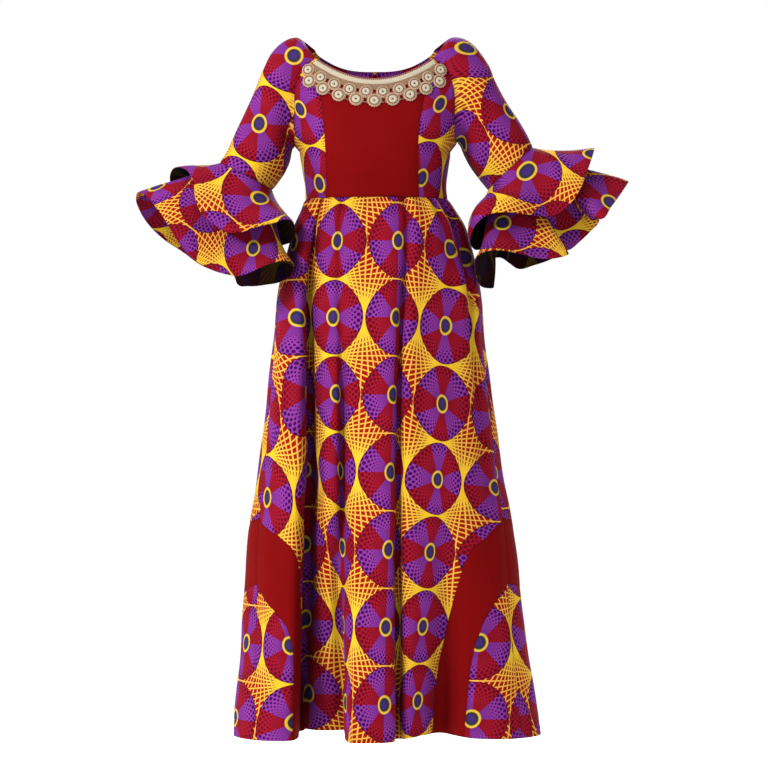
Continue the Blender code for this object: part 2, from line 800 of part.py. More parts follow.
def make_skirt_panel(name, left_seam, right_seam, left_corner, right_corner, fixed, columns):
    """The printed middle panel of front or back, down to the hem between two bands."""
    heights = np.array(TOP_ROWS + INNER_ROWS[1:], float)
    upper = len(TOP_ROWS)
    low = np.concatenate([np.full(upper, left_seam), place_on(BAND_INNER, left_corner, heights[upper:])])
    high = np.concatenate([np.full(upper, right_seam), place_on(BAND_INNER, right_corner, heights[upper:])])
    first, last = fixed
    before = np.linspace(left_seam, first, columns[0], endpoint=False)
    between = np.linspace(first, last, columns[1], endpoint=False)
    after = np.linspace(last, right_seam, columns[2] + 1)
    rows = []
    for start, end in zip(low, high):
        crowd_left = min(CROWDING, (first - start) / (columns[0] + 1))
        crowd_right = min(CROWDING, (end - last) / (columns[2] + 1))
        left = np.maximum(before, start + crowd_left * np.arange(columns[0]))
        right = np.minimum(after, end - crowd_right * np.arange(columns[2], -1, -1))
        rows.append(np.concatenate([left, between, right]))
    place = np.array(rows)
    height = np.repeat(heights[:, None], place.shape[1], 1)
    add_skirt_wall(name, place, height, PRINT)


def make_band(name, seam, corner):
    """The plain band: from the side seam it runs down between its inner and outer edges to the hem."""
    starts = place_on(BAND_INNER, corner, INNER_ROWS)
    ends = place_on(BAND_OUTER, corner, OUTER_ROWS)
    starts[0] = ends[0] = seam
    share = np.linspace(0, 1, BAND_COLUMNS + 1)[None, :]
    place = starts[:, None] * (1 - share) + ends[:, None] * share
    height = np.array(INNER_ROWS)[:, None] * (1 - share) + np.array(OUTER_ROWS)[:, None] * share
    add_skirt_wall(name, place, height, RED)


def make_corner(name, seam, corner, columns):
    """The printed piece outside the band, between it and the side seam."""
    heights = np.array((CORNER_TIP,) + OUTER_ROWS[1:], float)
    ends = place_on(BAND_OUTER, corner, heights)
    share = np.linspace(0, 1, columns + 1)[None, :]
    place = seam * (1 - share) + ends[:, None] * share
    height = np.repeat(heights[:, None], place.shape[1], 1)
    add_skirt_wall(name, place, height, PRINT)


def make_skirt():
    make_skirt_panel("skirt_front", 0, RIGHT_SEAM, FRONT_LEFT, FRONT_RIGHT, FRONT_FIXED, (8, 22, 12))
    make_skirt_panel("skirt_back", RIGHT_SEAM, TURN, BACK_RIGHT, BACK_LEFT, BACK_FIXED, (16, 10, 16))
    corners = (
        # name, place of its side seam, column, columns of points
        ("front_left", 0, FRONT_LEFT, 4),
        ("front_right", RIGHT_SEAM, FRONT_RIGHT, 6),
        ("back_right", RIGHT_SEAM, BACK_RIGHT, 6),
        ("back_left", TURN, BACK_LEFT, 5),
    )
    for name, seam, corner, columns in corners:
        make_band("band_" + name, seam, corner)
        make_corner("corner_" + name, seam, corner, columns)


# Lace


def make_lace():
    columns = SCALLOPS * SCALLOP_COLUMNS
    across = np.linspace(LACE_ENDS[0], LACE_ENDS[1], columns + 1)
    phase = np.linspace(0, SCALLOPS * math.pi, columns + 1)
    depth = LACE_DEPTH + SCALLOP_DEPTH * np.abs(np.sin(phase))
    share = np.linspace(0.012, 1, 4)[:, None]
    slope = 2 * NECK["front_rise"] * across / NECK["front_half"] ** 2
    tilt = np.sqrt(1 + slope**2)
    x = across + share * depth * slope / tilt
    height = neck_front(across) - share * depth / tilt
    angle = body_angle(x, height)
    inside = body(angle, height)
    normals = body_normal(angle, height)
    outer = inside + normals * (LACE_LIFT + LACE_WALL)
    add_wall("neck_lace", outer, normals, LACE, thick=LACE_WALL)


def main():
    for old in list(bpy.data.objects):
        bpy.data.objects.remove(old)
    make_sleeve("sleeve_left", -1, SLEEVE_LEFT)
    make_sleeve("sleeve_right", 1, SLEEVE_RIGHT)
    make_bodice()
    make_lace()
    clear_of_upper = WALL + 0.6 * MM
    make_flounce("flounce_upper_left", SLEEVE_LEFT[-1], UPPER_LEFT, 0, 0.4 * MM, PUFF_LEFT)
    make_flounce("flounce_lower_left", SLEEVE_LEFT[-1], LOWER_LEFT, clear_of_upper, 1.2 * MM, SAG)
    make_flounce("flounce_upper_right", SLEEVE_RIGHT[-1], UPPER_RIGHT, 0, 0.4 * MM, PUFF_RIGHT)
    make_flounce("flounce_lower_right", SLEEVE_RIGHT[-1], LOWER_RIGHT, clear_of_upper, 1.2 * MM, SAG)
    make_skirt()


main()
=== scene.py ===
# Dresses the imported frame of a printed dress: cloth shells with their folds, the print, the lace and a studio.
# The front faces -Y. Left and right are the viewer's, and the tables are in millimetres.
import math

import bpy
import numpy as np
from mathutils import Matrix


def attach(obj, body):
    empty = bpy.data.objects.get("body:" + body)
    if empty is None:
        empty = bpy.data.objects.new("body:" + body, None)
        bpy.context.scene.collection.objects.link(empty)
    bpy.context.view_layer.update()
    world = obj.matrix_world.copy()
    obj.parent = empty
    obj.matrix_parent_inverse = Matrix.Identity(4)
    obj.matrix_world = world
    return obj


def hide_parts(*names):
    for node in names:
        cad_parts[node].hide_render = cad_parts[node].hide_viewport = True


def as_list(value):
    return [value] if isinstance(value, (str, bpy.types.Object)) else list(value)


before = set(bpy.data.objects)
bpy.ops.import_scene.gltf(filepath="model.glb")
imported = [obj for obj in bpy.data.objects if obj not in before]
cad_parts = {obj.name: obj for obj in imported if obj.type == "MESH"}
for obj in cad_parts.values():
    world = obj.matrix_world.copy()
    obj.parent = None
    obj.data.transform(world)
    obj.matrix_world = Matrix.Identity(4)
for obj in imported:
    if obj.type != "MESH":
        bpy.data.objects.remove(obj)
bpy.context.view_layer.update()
mm = 0.001
pitch = 151 * mm  # from one wheel of the print to the next


def curve(start, leave, end, arrive, t):  # from start to end while t goes from 0 to 1, with a slope given at each
    return (start * (1 + 2 * t) * (1 - t) ** 2 + leave * t * (1 - t) ** 2
            + end * t * t * (3 - 2 * t) + arrive * t * t * (t - 1))


def blend(stations, values, where):  # smooth values through rising stations
    stations, values, where = (np.asarray(given, float) for given in (stations, values, where))
    slopes = np.gradient(values, stations, axis=0)
    low = np.clip(np.searchsorted(stations, where, side="right") - 1, 0, len(stations) - 2)
    shape = where.shape + (1,) * (values.ndim - 1)
    span = stations[low + 1] - stations[low]
    t = ((where - stations[low]) / span).reshape(shape)
    span = span.reshape(shape)
    return curve(values[low], slopes[low] * span, values[low + 1], slopes[low + 1] * span, t)


def length(vectors):
    return np.maximum(np.linalg.norm(vectors, axis=-1, keepdims=True), 1e-9)


def unit(vectors):
    return vectors / length(vectors)


def mixed(start, end, share):
    return np.asarray(start) * (1 - share) + np.asarray(end) * share


def ramp(value, low, high):  # 0 below low, 1 above high, eased between
    t = np.clip((value - low) / (high - low), 0, 1)
    return t * t * (3 - 2 * t)


def roundThrough(nodes, place):  # points at a place on closed curves, one curve a point
    first = np.floor(place).astype(int)

    def node(step):
        index = ((first + step) % nodes.shape[-2])[..., None, None]
        return np.take_along_axis(nodes, index, axis=-2)[..., 0, :]

    def heading(a, b):
        return unit(a / length(a) * length(b) + b / length(b) * length(a))

    before, start, end, after = (node(step) for step in (-1, 0, 1, 2))
    step = length(end - start)
    leave, arrive = heading(start - before, end - start) * step, heading(end - start, after - end) * step
    return curve(start, leave, end, arrive, (place - first)[..., None])


def finer(rows, steps):  # a table with smooth rows between its own
    rows = np.asarray(rows, float)
    return blend(np.arange(len(rows)), rows, np.arange((len(rows) - 1) * steps + 1) / steps)


def arcLengths(points, axis):  # distance along each line of points, from its first one
    steps = np.linalg.norm(np.diff(points, axis=axis), axis=-1)
    start = np.zeros_like(np.take(steps, [0], axis=axis))
    return np.concatenate([start, np.cumsum(steps, axis=axis)], axis=axis)


def spotIn(even, value):  # where a value lies in a row of even numbers
    return (np.asarray(value) - even[0]) / (even[1] - even[0])


def lookUp(table, row, column):  # a table's value between its rows and columns
    row, column = (np.clip(place, 0, count - 1.001) for place, count in zip((row, column), table.shape))
    i, j = np.floor(row).astype(int), np.floor(column).astype(int)
    s, t = column - j, row - i
    return mixed(table[i, j], table[i, j + 1], s) * (1 - t) + mixed(table[i + 1, j], table[i + 1, j + 1], s) * t


def surfaceNormal(pointAt, across, height, step):
    right = pointAt(across + step, height) - pointAt(across - step, height)
    down = pointAt(across, height - step * 0.1) - pointAt(across, height + step * 0.1)
    return unit(np.cross(down, right))


def tubeNormals(grid):  # of a grid that closes round on itself, turned away from its middle
    normals = unit(np.cross(np.gradient(grid, axis=0), np.roll(grid, -1, 1) - np.roll(grid, 1, 1)))
    away = grid - grid.mean(axis=1, keepdims=True)
    return normals if (normals * away).sum() > 0 else -normals


# Cloth walls

cloth = {
    "thickness": 1.1 * mm,
    "seamDip": 0.8 * mm,  # how far cloth stands out of its seams and hems
    "stitchIn": 4.0, "stitch": 3.2,  # the stitching's distance from an edge and its pitch, in millimetres
    "dipWidth": 6 * mm, "calmWidth": 16 * mm,  # how far from an edge the dip ends and the unevenness is full
    "crumple": ((61, 0.55 * mm), (37, 0.3 * mm)),  # turn in a metre, and height, of the soft unevenness
}


def softness(points, away):  # how far cloth stands out, away is the distance from the nearest seam
    height = 0
    for number, (rate, size) in enumerate(cloth["crumple"]):  # waves that cross each other three ways
        x, y, z = np.moveaxis(points * rate, -1, 0)
        height = height + size * (np.sin(x + 0.55 * z + number) + np.sin(0.8 * y - 0.45 * z + 2 + number)
                                  + 0.7 * np.sin(0.9 * x - 0.7 * z + 4))
    dip = cloth["seamDip"] * ramp(away, 0, cloth["dipWidth"])
    return (dip + height * ramp(away, 0, cloth["calmWidth"]))[..., None]


def edgePlaces(outer, closed):  # distance along the nearest edge and away from it, in millimetres
    wide = np.concatenate([outer, outer[:, :1]], 1) if closed else outer
    down, across = arcLengths(wide, 0) / mm, arcLengths(wide, 1) / mm
    away = np.minimum(down, down[-1:] - down)
    if closed:
        return np.stack([across, away], -1)
    side = np.minimum(across, across[:, -1:] - across)
    return np.stack([np.where(away < side, across, down), np.minimum(away, side)], -1)


def addToScene(name, data):
    thing = bpy.data.objects.new(name, data)
    bpy.context.scene.collection.objects.link(thing)
    return thing


def makePiece(name, points, faces, layers, finishes, crease, kinds=None):  # shaded smooth up to the crease's angle
    mesh = bpy.data.meshes.new(name)
    mesh.from_pydata(points.tolist(), [], faces)
    for layerName, values in layers.items():
        layer = mesh.uv_layers.new(name=layerName)
        layer.data.foreach_set("uv", values.astype(np.float32).ravel())
    if kinds is not None:
        mesh.polygons.foreach_set("material_index", kinds)
    for finish in finishes:
        mesh.materials.append(finish)
    mesh.shade_smooth()
    mesh.set_sharp_from_angle(angle=math.radians(crease))
    return addToScene(name, mesh)


def makeShell(name, outer, normals, prints, finishes, closed=False):  # a thin wall, closed at its edges
    rows, columns = outer.shape[:2]
    seams = edgePlaces(outer, closed)
    outer = outer + normals * softness(outer, seams[:, :columns, 1] * mm)
    points = np.concatenate([outer.reshape(-1, 3), (outer - normals * cloth["thickness"]).reshape(-1, 3)])
    below = rows * columns
    index = np.arange(below).reshape(rows, columns)
    if closed:
        index = np.concatenate([index, index[:, :1]], 1)
    wide, tall = np.arange(index.shape[1] - 1), np.arange(rows - 1)
    r, c = (part.ravel() for part in np.meshgrid(tall, wide, indexing="ij"))
    corners = ((r, c), (r, c + 1), (r + 1, c + 1), (r + 1, c))
    # the borders, where the two sides of the cloth are joined
    edges = [((0, wide + 1), (0, wide)), ((rows - 1, wide), (rows - 1, wide + 1))]
    if not closed:
        edges += [((tall, 0), (tall + 1, 0)), ((tall + 1, columns - 1), (tall, columns - 1))]
    parts = []
    for table, under in ((index, below), (prints, 0), (seams, 0)):
        front = np.stack([table[corner] for corner in corners], 1)
        around = [np.stack([table[start], table[end], table[end] + under, table[start] + under], 1)
                  for start, end in edges]
        parts.append(np.concatenate([front, front[:, ::-1] + under] + around))
    kinds = np.zeros(len(parts[0]), np.int32)
    kinds[len(r):2 * len(r)] = 1  # the inner side has the second finish
    # the faces are turned round if the grid runs the other way
    middle = (rows // 2) * columns + columns // 2
    down, across = (points[middle + step] - points[middle] for step in (columns, 1))
    if np.dot(np.cross(across, down), normals[rows // 2, columns // 2]) < 0:
        parts = [part[:, ::-1] for part in parts]
    faces, places, seamPlaces = parts
    return makePiece(name, points, faces.tolist(), {"print": places, "seam": seamPlaces}, finishes, 55, kinds)


def sewOn(piece, node, slot, flat, held, area=None, restsOn=(), withPieces=()):
    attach(piece, "root")
    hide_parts(node)
    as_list(restsOn)
    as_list(withPieces)


# Bodice

bodice = {
    "torso": (  # height, middle x, half width, front depth, back depth
        (0, 0, 178, 34, 40), (-30, 0, 186, 55, 58), (-60, 0, 190, 70, 72), (-93, 0, 191, 84, 84),
        (-130, 0, 188, 100, 92), (-170, 0, 177, 114, 95), (-200, 0, 166, 122, 94), (-216.5, 0, 159.5, 125, 93),
        (-224, 0, 151.5, 126, 92), (-240, 1, 148, 127, 89), (-270, 2, 143.5, 121, 85), (-300, 3, 140, 109, 83),
        (-324, 4, 141.5, 100, 83),
    ),
    "squareness": 2.4,  # 2 is an ellipse
    "waist": -324 * mm,
    "armpit": -216.5 * mm,
    "armpitRise": {-1: 0.0, 1: 8.5 * mm},  # the right armpit is a little higher
    "neckFront": (-90 * mm, 44.5 * mm, 117 * mm, 2),  # height in the middle, rise, half width, power
    "neckBack": (-60.5 * mm, 41 * mm, 120 * mm, 3),
    "raglanFront": (  # distance from the middle, height
        (117, -45.5), (134, -62), (148, -81), (157, -106), (159, -134), (158.5, -166), (158.5, -193),
        (159.2, -209),
    ),
    "raglanBack": (
        (120, -19.5), (138, -42), (150, -71), (156, -105), (158, -134), (158.5, -166), (158.5, -193),
        (159.2, -209),
    ),
    "sideRows": (-224, -237, -256, -280, -303, -324),
    "princess": (  # height, left seam x, right seam x
        (-324, -94, 88), (-218, -97, 86), (-190, -99, 88), (-128, -104, 97), (-50, -104, 101),
    ),
    "fineness": 5,  # rows for each row of the tables
    "columns": {"front": 48, "side": 28, "back": 44},
    "printSqueeze": 1.3,  # the print is narrower on the side panels
    "backPrint": (0.46, -95 * mm),  # on the back: how many columns off the middle a wheel lies, and the top row
    "eyes": {  # wheel centres of the print on the two side panels: x and height of an upper and a lower one
        -1: ((-147, -149), (-108.5, -296)), 1: ((129, -140), (93.5, -286)),
    },
}


def bodySize(height):  # middle x, half width, front depth and back depth
    rows = np.array(bodice["torso"][::-1]) * mm
    return np.moveaxis(blend(rows[:, 0], rows[:, 1:], height), -1, 0)


def bodyPoint(angle, height):  # angle 0 is the centre front, a quarter turn the right side
    middle, half, front, back = bodySize(height)
    depth = np.where(np.cos(angle) >= 0, front, back)
    power = bodice["squareness"]
    radius = ((np.abs(np.sin(angle)) / half) ** power + (np.abs(np.cos(angle)) / depth) ** power) ** (-1 / power)
    return np.stack([middle + radius * np.sin(angle), -radius * np.cos(angle), height + 0 * angle], -1)


def bodyDepth(x, height, back):
    middle, half, front, rear = bodySize(height)
    share = np.clip(np.abs(x - middle) / half, 0, 1)
    return (rear if back else front) * (1 - share ** bodice["squareness"]) ** (1 / bodice["squareness"])


def bodyAngle(x, height, back=False):
    depth = bodyDepth(x, height, back)
    return np.arctan2(x - bodySize(height)[0], -depth if back else depth)


def bodyNormal(angle, height):
    return surfaceNormal(bodyPoint, angle, height, 0.002)


def neckHeight(x, side):
    low, rise, half, power = bodice[side]
    return low + rise * (np.abs(x) / half) ** power


def outerEdge(table, side, back):  # angle and height down the armhole seam and then the side seam
    steps = bodice["fineness"]
    rows = finer(bodice[table], steps) * mm
    rows[:, 1] += bodice["armpitRise"][side] * (rows[:, 1] / bodice["armpit"]) ** 3
    armpit = bodice["armpit"] + bodice["armpitRise"][side]
    seam = [armpit] + list(finer(np.array(bodice["sideRows"])[:, None] * mm, steps)[:, 0])
    heights = list(rows[:, 1]) + seam
    angles = np.array([bodyAngle(side * x, z, back) for x, z in rows] + [side * math.pi / 2] * len(seam))
    if back:
        angles = np.where(angles * side < 0, angles + side * 2 * math.pi, angles)
    return np.stack([angles, np.array(heights)], 1)


def innerEdge(outer, top, place):  # a panel's other side edge, its rows spaced as on the outer edge
    share = (outer[:, 1] - outer[0, 1]) / (bodice["waist"] - outer[0, 1])
    heights = top + (bodice["waist"] - top) * share
    return np.stack([np.array([place(z) for z in heights]), heights], 1)


def princessEdge(side, outer):
    rows = np.array(bodice["princess"]) * mm
    seamX = lambda z: float(blend(rows[:, 0], rows[:, 1 if side < 0 else 2], np.array(z)))
    top = neckHeight(seamX(rows[-1, 0]), "neckFront")
    return innerEdge(outer, top, lambda z: bodyAngle(seamX(z), z))


def bodicePanel(left, right, neck, columns):
    share = np.linspace(0, 1, columns + 1)
    angle, height = (mixed(left[:, k:k + 1], right[:, k:k + 1], share) for k in (0, 1))
    down = (height - height[:1]) / (height[-1:] - height[:1])
    for _ in range(3):  # brings the top row onto the neck edge
        wanted = neckHeight(bodyPoint(angle[:1], height[:1])[..., 0], neck)
        height = height + (wanted - height[:1]) * (1 - down)
    return angle, height


def bodyArc(angle, height):  # distance round the body from the centre front
    turns = np.linspace(-1.2 * math.pi, 1.2 * math.pi, 241)
    levels = np.linspace(-340, 0, 35) * mm
    lines = arcLengths(bodyPoint(turns[None, :], np.repeat(levels[:, None], len(turns), 1)), 1)
    lines = lines - lines[:, len(turns) // 2][:, None]  # 0 at the centre front
    return lookUp(lines, spotIn(levels, height), spotIn(turns, angle))


def sidePrint(side, angle, height):  # the print leans with the line between two wheel centres
    eyes = np.array(bodice["eyes"][side]) * mm
    upper, lower = (bodyArc(bodyAngle(x, z), z) for x, z in eyes)
    rows = (eyes[0, 1] - height) / (eyes[0, 1] - eyes[1, 1])
    return np.stack([(bodyArc(angle, height) - mixed(upper, lower, rows)) / pitch * bodice["printSqueeze"], rows], -1)


def backPrint(side, angle, height):
    column, top = bodice["backPrint"]
    across = bodyArc(angle, height) - bodyArc(side * math.pi, height)
    return np.stack([across / pitch + side * column, (top - height) / pitch], -1)


# Sleeves

sleeves = {
    "rings": {  # outer x, outer z, inner x, inner z, front depth, back depth, forward; shoulder to elbow
        -1: (
            (-158, -1, -160.2, -217.6, 62, 60, 0), (-183, -10, -162, -219, 64, 62, 0),
            (-208, -33, -163.5, -220.5, 66, 64, 0), (-225, -70, -165.5, -223, 66, 64, 1),
            (-239, -106, -167.5, -232, 65, 63, 3), (-258, -148, -170.5, -248, 63, 61, 6),
            (-280, -198, -179, -269, 60, 58, 10), (-293, -226, -190.5, -287, 58, 57, 13),
            (-308, -251, -204.5, -304.5, 57, 57, 15),
        ),
        1: (
            (158, 0, 164.8, -209, 62, 60, 0), (181, -4, 167.2, -210.8, 64, 62, 0),
            (204, -21, 170, -213.5, 66, 64, 0), (227, -54, 173.5, -218.5, 67, 65, 1),
            (240, -86, 176.5, -227, 67, 65, 3), (261, -124, 181.5, -239, 65, 63, 6),
            (282, -158, 192, -258, 62, 60, 10), (302, -192, 209, -282, 60, 59, 13),
            (315, -220.5, 226, -304.5, 59, 59, 15),
        ),
    },
    "shoulderPoint": (141 * mm, 0.0, -7 * mm),  # where the shoulder meets the neck edge
    "neckBulge": (4.5 * mm, 3.5 * mm, 4 * mm),  # how far that edge bows out beside it
    "neckSteps": 12,
    "fade": 4,  # rings over which the armhole's own outline turns into an oval
    "fineness": 6,
    "down": {-1: (-0.535, 0, -0.845), 1: (0.555, 0, -0.832)},  # the way the print runs
    "print": {-1: (0.147, 0.203), 1: (0.53, 0.19)},  # its shift in columns and rows
    "shoulderColumn": 0.745,  # and its place on the front of the left shoulder, where it lies straight across
    "shoulderEdge": ((-0.2, 0.3), (1.1, 1.8)),  # where that part ends: round the arm, and down it in rows
}


def neckEdge(side, back):  # the shoulder's half of the neck edge, down to the armhole seam
    x, z = np.array(bodice["raglanBack" if back else "raglanFront"][0]) * mm
    turned = 1 if back else -1
    corner = np.array([x, turned * float(bodyDepth(x, z, back)), z])
    bulge = np.array(sleeves["neckBulge"]) * (1, turned, 1)
    shares = np.linspace(0, 1, sleeves["neckSteps"] + 1)
    points = [mixed(sleeves["shoulderPoint"], corner, s) + bulge * math.sin(math.pi * s) for s in shares]
    return np.array(points) * (side, 1, 1)


def sleeveHalf(side, back):  # one half of the outline in which the sleeve meets the body, and its angles
    table = "raglanBack" if back else "raglanFront"
    seam = outerEdge(table, side, back)[:(len(bodice[table]) - 1) * bodice["fineness"] + 2]
    points = np.concatenate([neckEdge(side, back), bodyPoint(*seam.T)[1:]])
    along = arcLengths(points, 0)
    return points, along / along[-1] * math.pi


def oval(ring, angle):  # a ring of the arm: angle 0 is its outer side, a quarter turn the front
    outerX, outerZ, innerX, innerZ, front, back, forward = np.array(ring) * mm
    middle = np.array([(outerX + innerX) / 2, -forward, (outerZ + innerZ) / 2])
    reach = np.array([(outerX - innerX) / 2, 0, (outerZ - innerZ) / 2])
    depth = np.where(np.sin(angle) >= 0, front, back)
    return middle + reach * np.cos(angle)[..., None] + (-depth * np.sin(angle))[..., None] * (0, 1, 0)


def sleeveGrid(side):
    rings = sleeves["rings"][side]
    (front, frontAngles), (back, backAngles) = (sleeveHalf(side, isBack) for isBack in (False, True))
    root = np.concatenate([front, back[-2:0:-1]])
    angles = np.concatenate([frontAngles, 2 * math.pi - backAngles[-2:0:-1]])
    armpit, shoulder = front[-1] / mm, np.array(sleeves["shoulderPoint"]) / mm * (side, 1, 1)
    base = (shoulder[0], shoulder[2], armpit[0], armpit[2], rings[0][4], rings[0][5], 0)
    ownOutline = root - oval(base, angles)
    plain = np.array([oval(ring, angles) for ring in finer((base,) + rings, sleeves["fineness"])])
    share = np.arange(len(plain)) / sleeves["fineness"] / sleeves["fade"]
    return plain + ownOutline * np.maximum(0, 1 - share)[:, None, None], plain, angles


def sleevePrint(side, grid, plain, angles):  # one column more than the grid, so that it closes round the sleeve
    down = unit(np.array(sleeves["down"][side], float))
    wide, even = (np.concatenate([points, points[:, :1]], 1) for points in (grid, plain))
    flat = even - (even @ down)[..., None] * down
    around = arcLengths(flat, 1)
    front = np.argmin(np.abs(angles - math.pi / 2))
    around = around - around[:, front:front + 1]
    column, row = sleeves["print"][side]
    rows = (wide @ down) / pitch + row
    columns = side * -around / pitch + column
    if side < 0:
        straight = wide @ np.array([-down[2], 0, down[0]]) / pitch + sleeves["shoulderColumn"]
        roundArm, downArm = sleeves["shoulderEdge"]
        front = ramp(np.sin(np.append(angles, angles[0])), *roundArm)[None, :]
        columns = mixed(columns, straight, front * (1 - ramp(rows, *downArm)))
    return np.stack([columns, rows], -1)


# Flounces

flounces = {
    "tables": {  # ring angle, x, height and y of the hem all round: 0 is the outer end, 90 the front
        "upper_left": (
            (0, -393, -268, -10), (14, -375, -274, -35), (30, -358, -296, -65), (46, -353, -330, -90),
            (62, -341, -358, -105), (78, -319, -379, -115), (94, -287, -399, -125), (110, -257, -399, -130),
            (128, -226, -390, -135), (146, -196, -384, -135), (160, -171, -377, -120), (172, -164, -392, -85),
            (184, -167, -408, -45), (200, -190, -416, 10), (220, -236, -421, 70), (245, -299, -405, 115),
            (270, -357, -373, 130), (295, -393, -337, 120), (318, -412, -306, 90), (336, -415, -284, 60),
            (350, -409, -272, 30),
        ),
        "lower_left": (
            (0, -473, -309, -8), (14, -452, -319, -40), (28, -438, -335, -70), (42, -420, -357, -95),
            (54, -405, -380, -110), (66, -389, -407, -115), (78, -362, -441, -115), (92, -326, -465, -120),
            (106, -286, -478, -130), (118, -267, -481, -135), (130, -243, -474, -140), (144, -215, -461, -145),
            (158, -186, -452, -145), (170, -163, -452, -125), (182, -158, -462, -100), (196, -165, -477, -75),
            (210, -183, -488, -55), (224, -217, -494, -10), (238, -253, -495, 45), (249, -278, -489, 85),
            (256, -286, -472, 100), (264, -315, -464, 120), (276, -351, -451, 130), (292, -392, -422, 125),
            (308, -430, -397, 110), (324, -459, -368, 85), (340, -474, -342, 50), (352, -479, -321, 18),
        ),
        "upper_right": (
            (0, 440, -231, -8), (12, 429, -257, -40), (24, 418, -282, -65), (36, 407, -309, -85),
            (50, 389, -337, -95), (64, 367, -355, -92), (78, 344, -365, -95), (92, 315, -367, -115),
            (108, 283, -365, -135), (124, 251, -364, -145), (138, 228, -368, -145), (152, 210, -380, -130),
            (166, 200, -397, -105), (180, 197, -414, -80), (192, 205, -425, -50), (208, 229, -421, 12),
            (228, 268, -407, 70), (250, 316, -381, 105), (272, 364, -345, 125), (294, 404, -303, 115),
            (316, 429, -266, 85), (338, 440, -240, 45),
        ),
        "lower_right": (
            (0, 508, -287, -6), (12, 488, -316, -40), (24, 467, -343, -74), (32, 448, -367, -94),
            (38, 434, -366, -78), (42, 431, -369, -58), (47, 447, -369, -30), (55, 429, -389, -32),
            (63, 408, -409, -46), (71, 387, -426, -62), (77, 372, -428, -82), (84, 382, -436, -108),
            (94, 357, -445, -130), (106, 325, -447, -145), (118, 292, -440, -155), (130, 260, -433, -165),
            (142, 231, -431, -165), (153, 209, -436, -150), (163, 197, -447, -130), (171, 197, -464, -105),
            (179, 202, -483, -75), (187, 211, -498, -45), (195, 226, -501, -20), (201, 237, -499, -4),
            (208, 236, -474, 8), (215, 237, -441, 18), (224, 252, -438, 32), (233, 271, -448, 52),
            (242, 290, -459, 72), (252, 322, -451, 96), (264, 364, -435, 120), (278, 403, -410, 125),
            (292, 435, -380, 120), (308, 464, -345, 100), (326, 488, -313, 70), (344, 504, -293, 30),
        ),
    },
    "puff": {  # how far the cloth is rounded out at the outer end and by the body, in millimetres
        "upper_left": (6, 4), "upper_right": (6, 19), "lower_left": (4, -7), "lower_right": (4, -7),
    },
    "lift": {"upper": 9 * mm, "lower": 0.0},  # how far the hem stands off
    "inset": {"upper": 0.0, "lower": 2.2 * mm},  # the lower one is sewn in under the upper
    "drop": {"upper": 0.4 * mm, "lower": 1.2 * mm},
    "rows": 26,
    "steps": 6,  # columns for each hem point
    "calming": 216,  # how far the waves of a hem are smoothed towards its seam
    "spread": {  # angle, in radians, of the flat ring that each flounce is cut as
        "upper_left": 4.8, "lower_left": 5.2, "upper_right": 4.6, "lower_right": 4.0,
    },
    "print": {  # turn of the print on the flat ring in degrees, then its shift in columns and rows
        "upper_left": (-39.2, 0.470, 0.440), "lower_left": (-51.0, -1.033, 1.066),
        "upper_right": (-62.4, 0.889, 0.270), "lower_right": (-67.6, 1.551, 0.839),
    },
}


def flounceGrid(name):
    tier, word = name.split("_")
    ring = sleeves["rings"][-1 if word == "left" else 1][-1]
    rows = np.array(flounces["tables"][name], float)
    places = np.arange(0, len(rows), 1 / flounces["steps"])
    hem = roundThrough(np.repeat(rows[None, :, 1:] * mm, len(places), 0), places)[:, [0, 2, 1]]
    angle = np.radians(np.interp(places, np.arange(len(rows) + 1), np.append(rows[:, 0], 360.0)))
    start = oval(ring, angle)
    outer, inner = oval(ring, np.array([0.0, math.pi]))
    middle = (outer + inner) / 2
    reach = outer - middle
    axis = unit(np.array([-abs(reach[2]) * np.sign(-reach[0]), 0, -abs(reach[0])]))
    start = start - unit(start - middle) * flounces["inset"][tier] + axis * flounces["drop"][tier]
    calm = hem
    for _ in range(flounces["calming"]):
        calm = (np.roll(calm, 1, 0) + 2 * calm + np.roll(calm, -1, 0)) / 4
    share = np.linspace(0, 1, flounces["rows"] + 1)[:, None, None]
    grid = mixed(start, calm + (hem - calm) * share, share)
    puff = np.array(flounces["puff"][name]) * mm
    rounding = mixed(*puff, (1 - np.cos(angle)) / 2)[None, :, None]
    swell = 27 / 4 * share ** 2 * (1 - share)  # 1 at its fullest
    return grid + tubeNormals(grid) * (swell * rounding + flounces["lift"][tier] * share ** 3)


def flouncePrint(name, grid):  # the place of each point on the flat ring, with the print laid straight across it
    wide = np.concatenate([grid, grid[:, :1]], 1)
    seam, hem = arcLengths(wide[0], 0), arcLengths(wide[-1], 0)
    spread = flounces["spread"][name]
    tilt, column, row = flounces["print"][name]
    angle = hem / hem[-1] * spread + math.radians(tilt)
    radius = seam[-1] / spread + arcLengths(wide, 0)
    side = 1 if name.endswith("left") else -1
    return np.stack([side * radius * np.sin(angle) / pitch + column, radius * np.cos(angle) / pitch + row], -1)


# Skirt

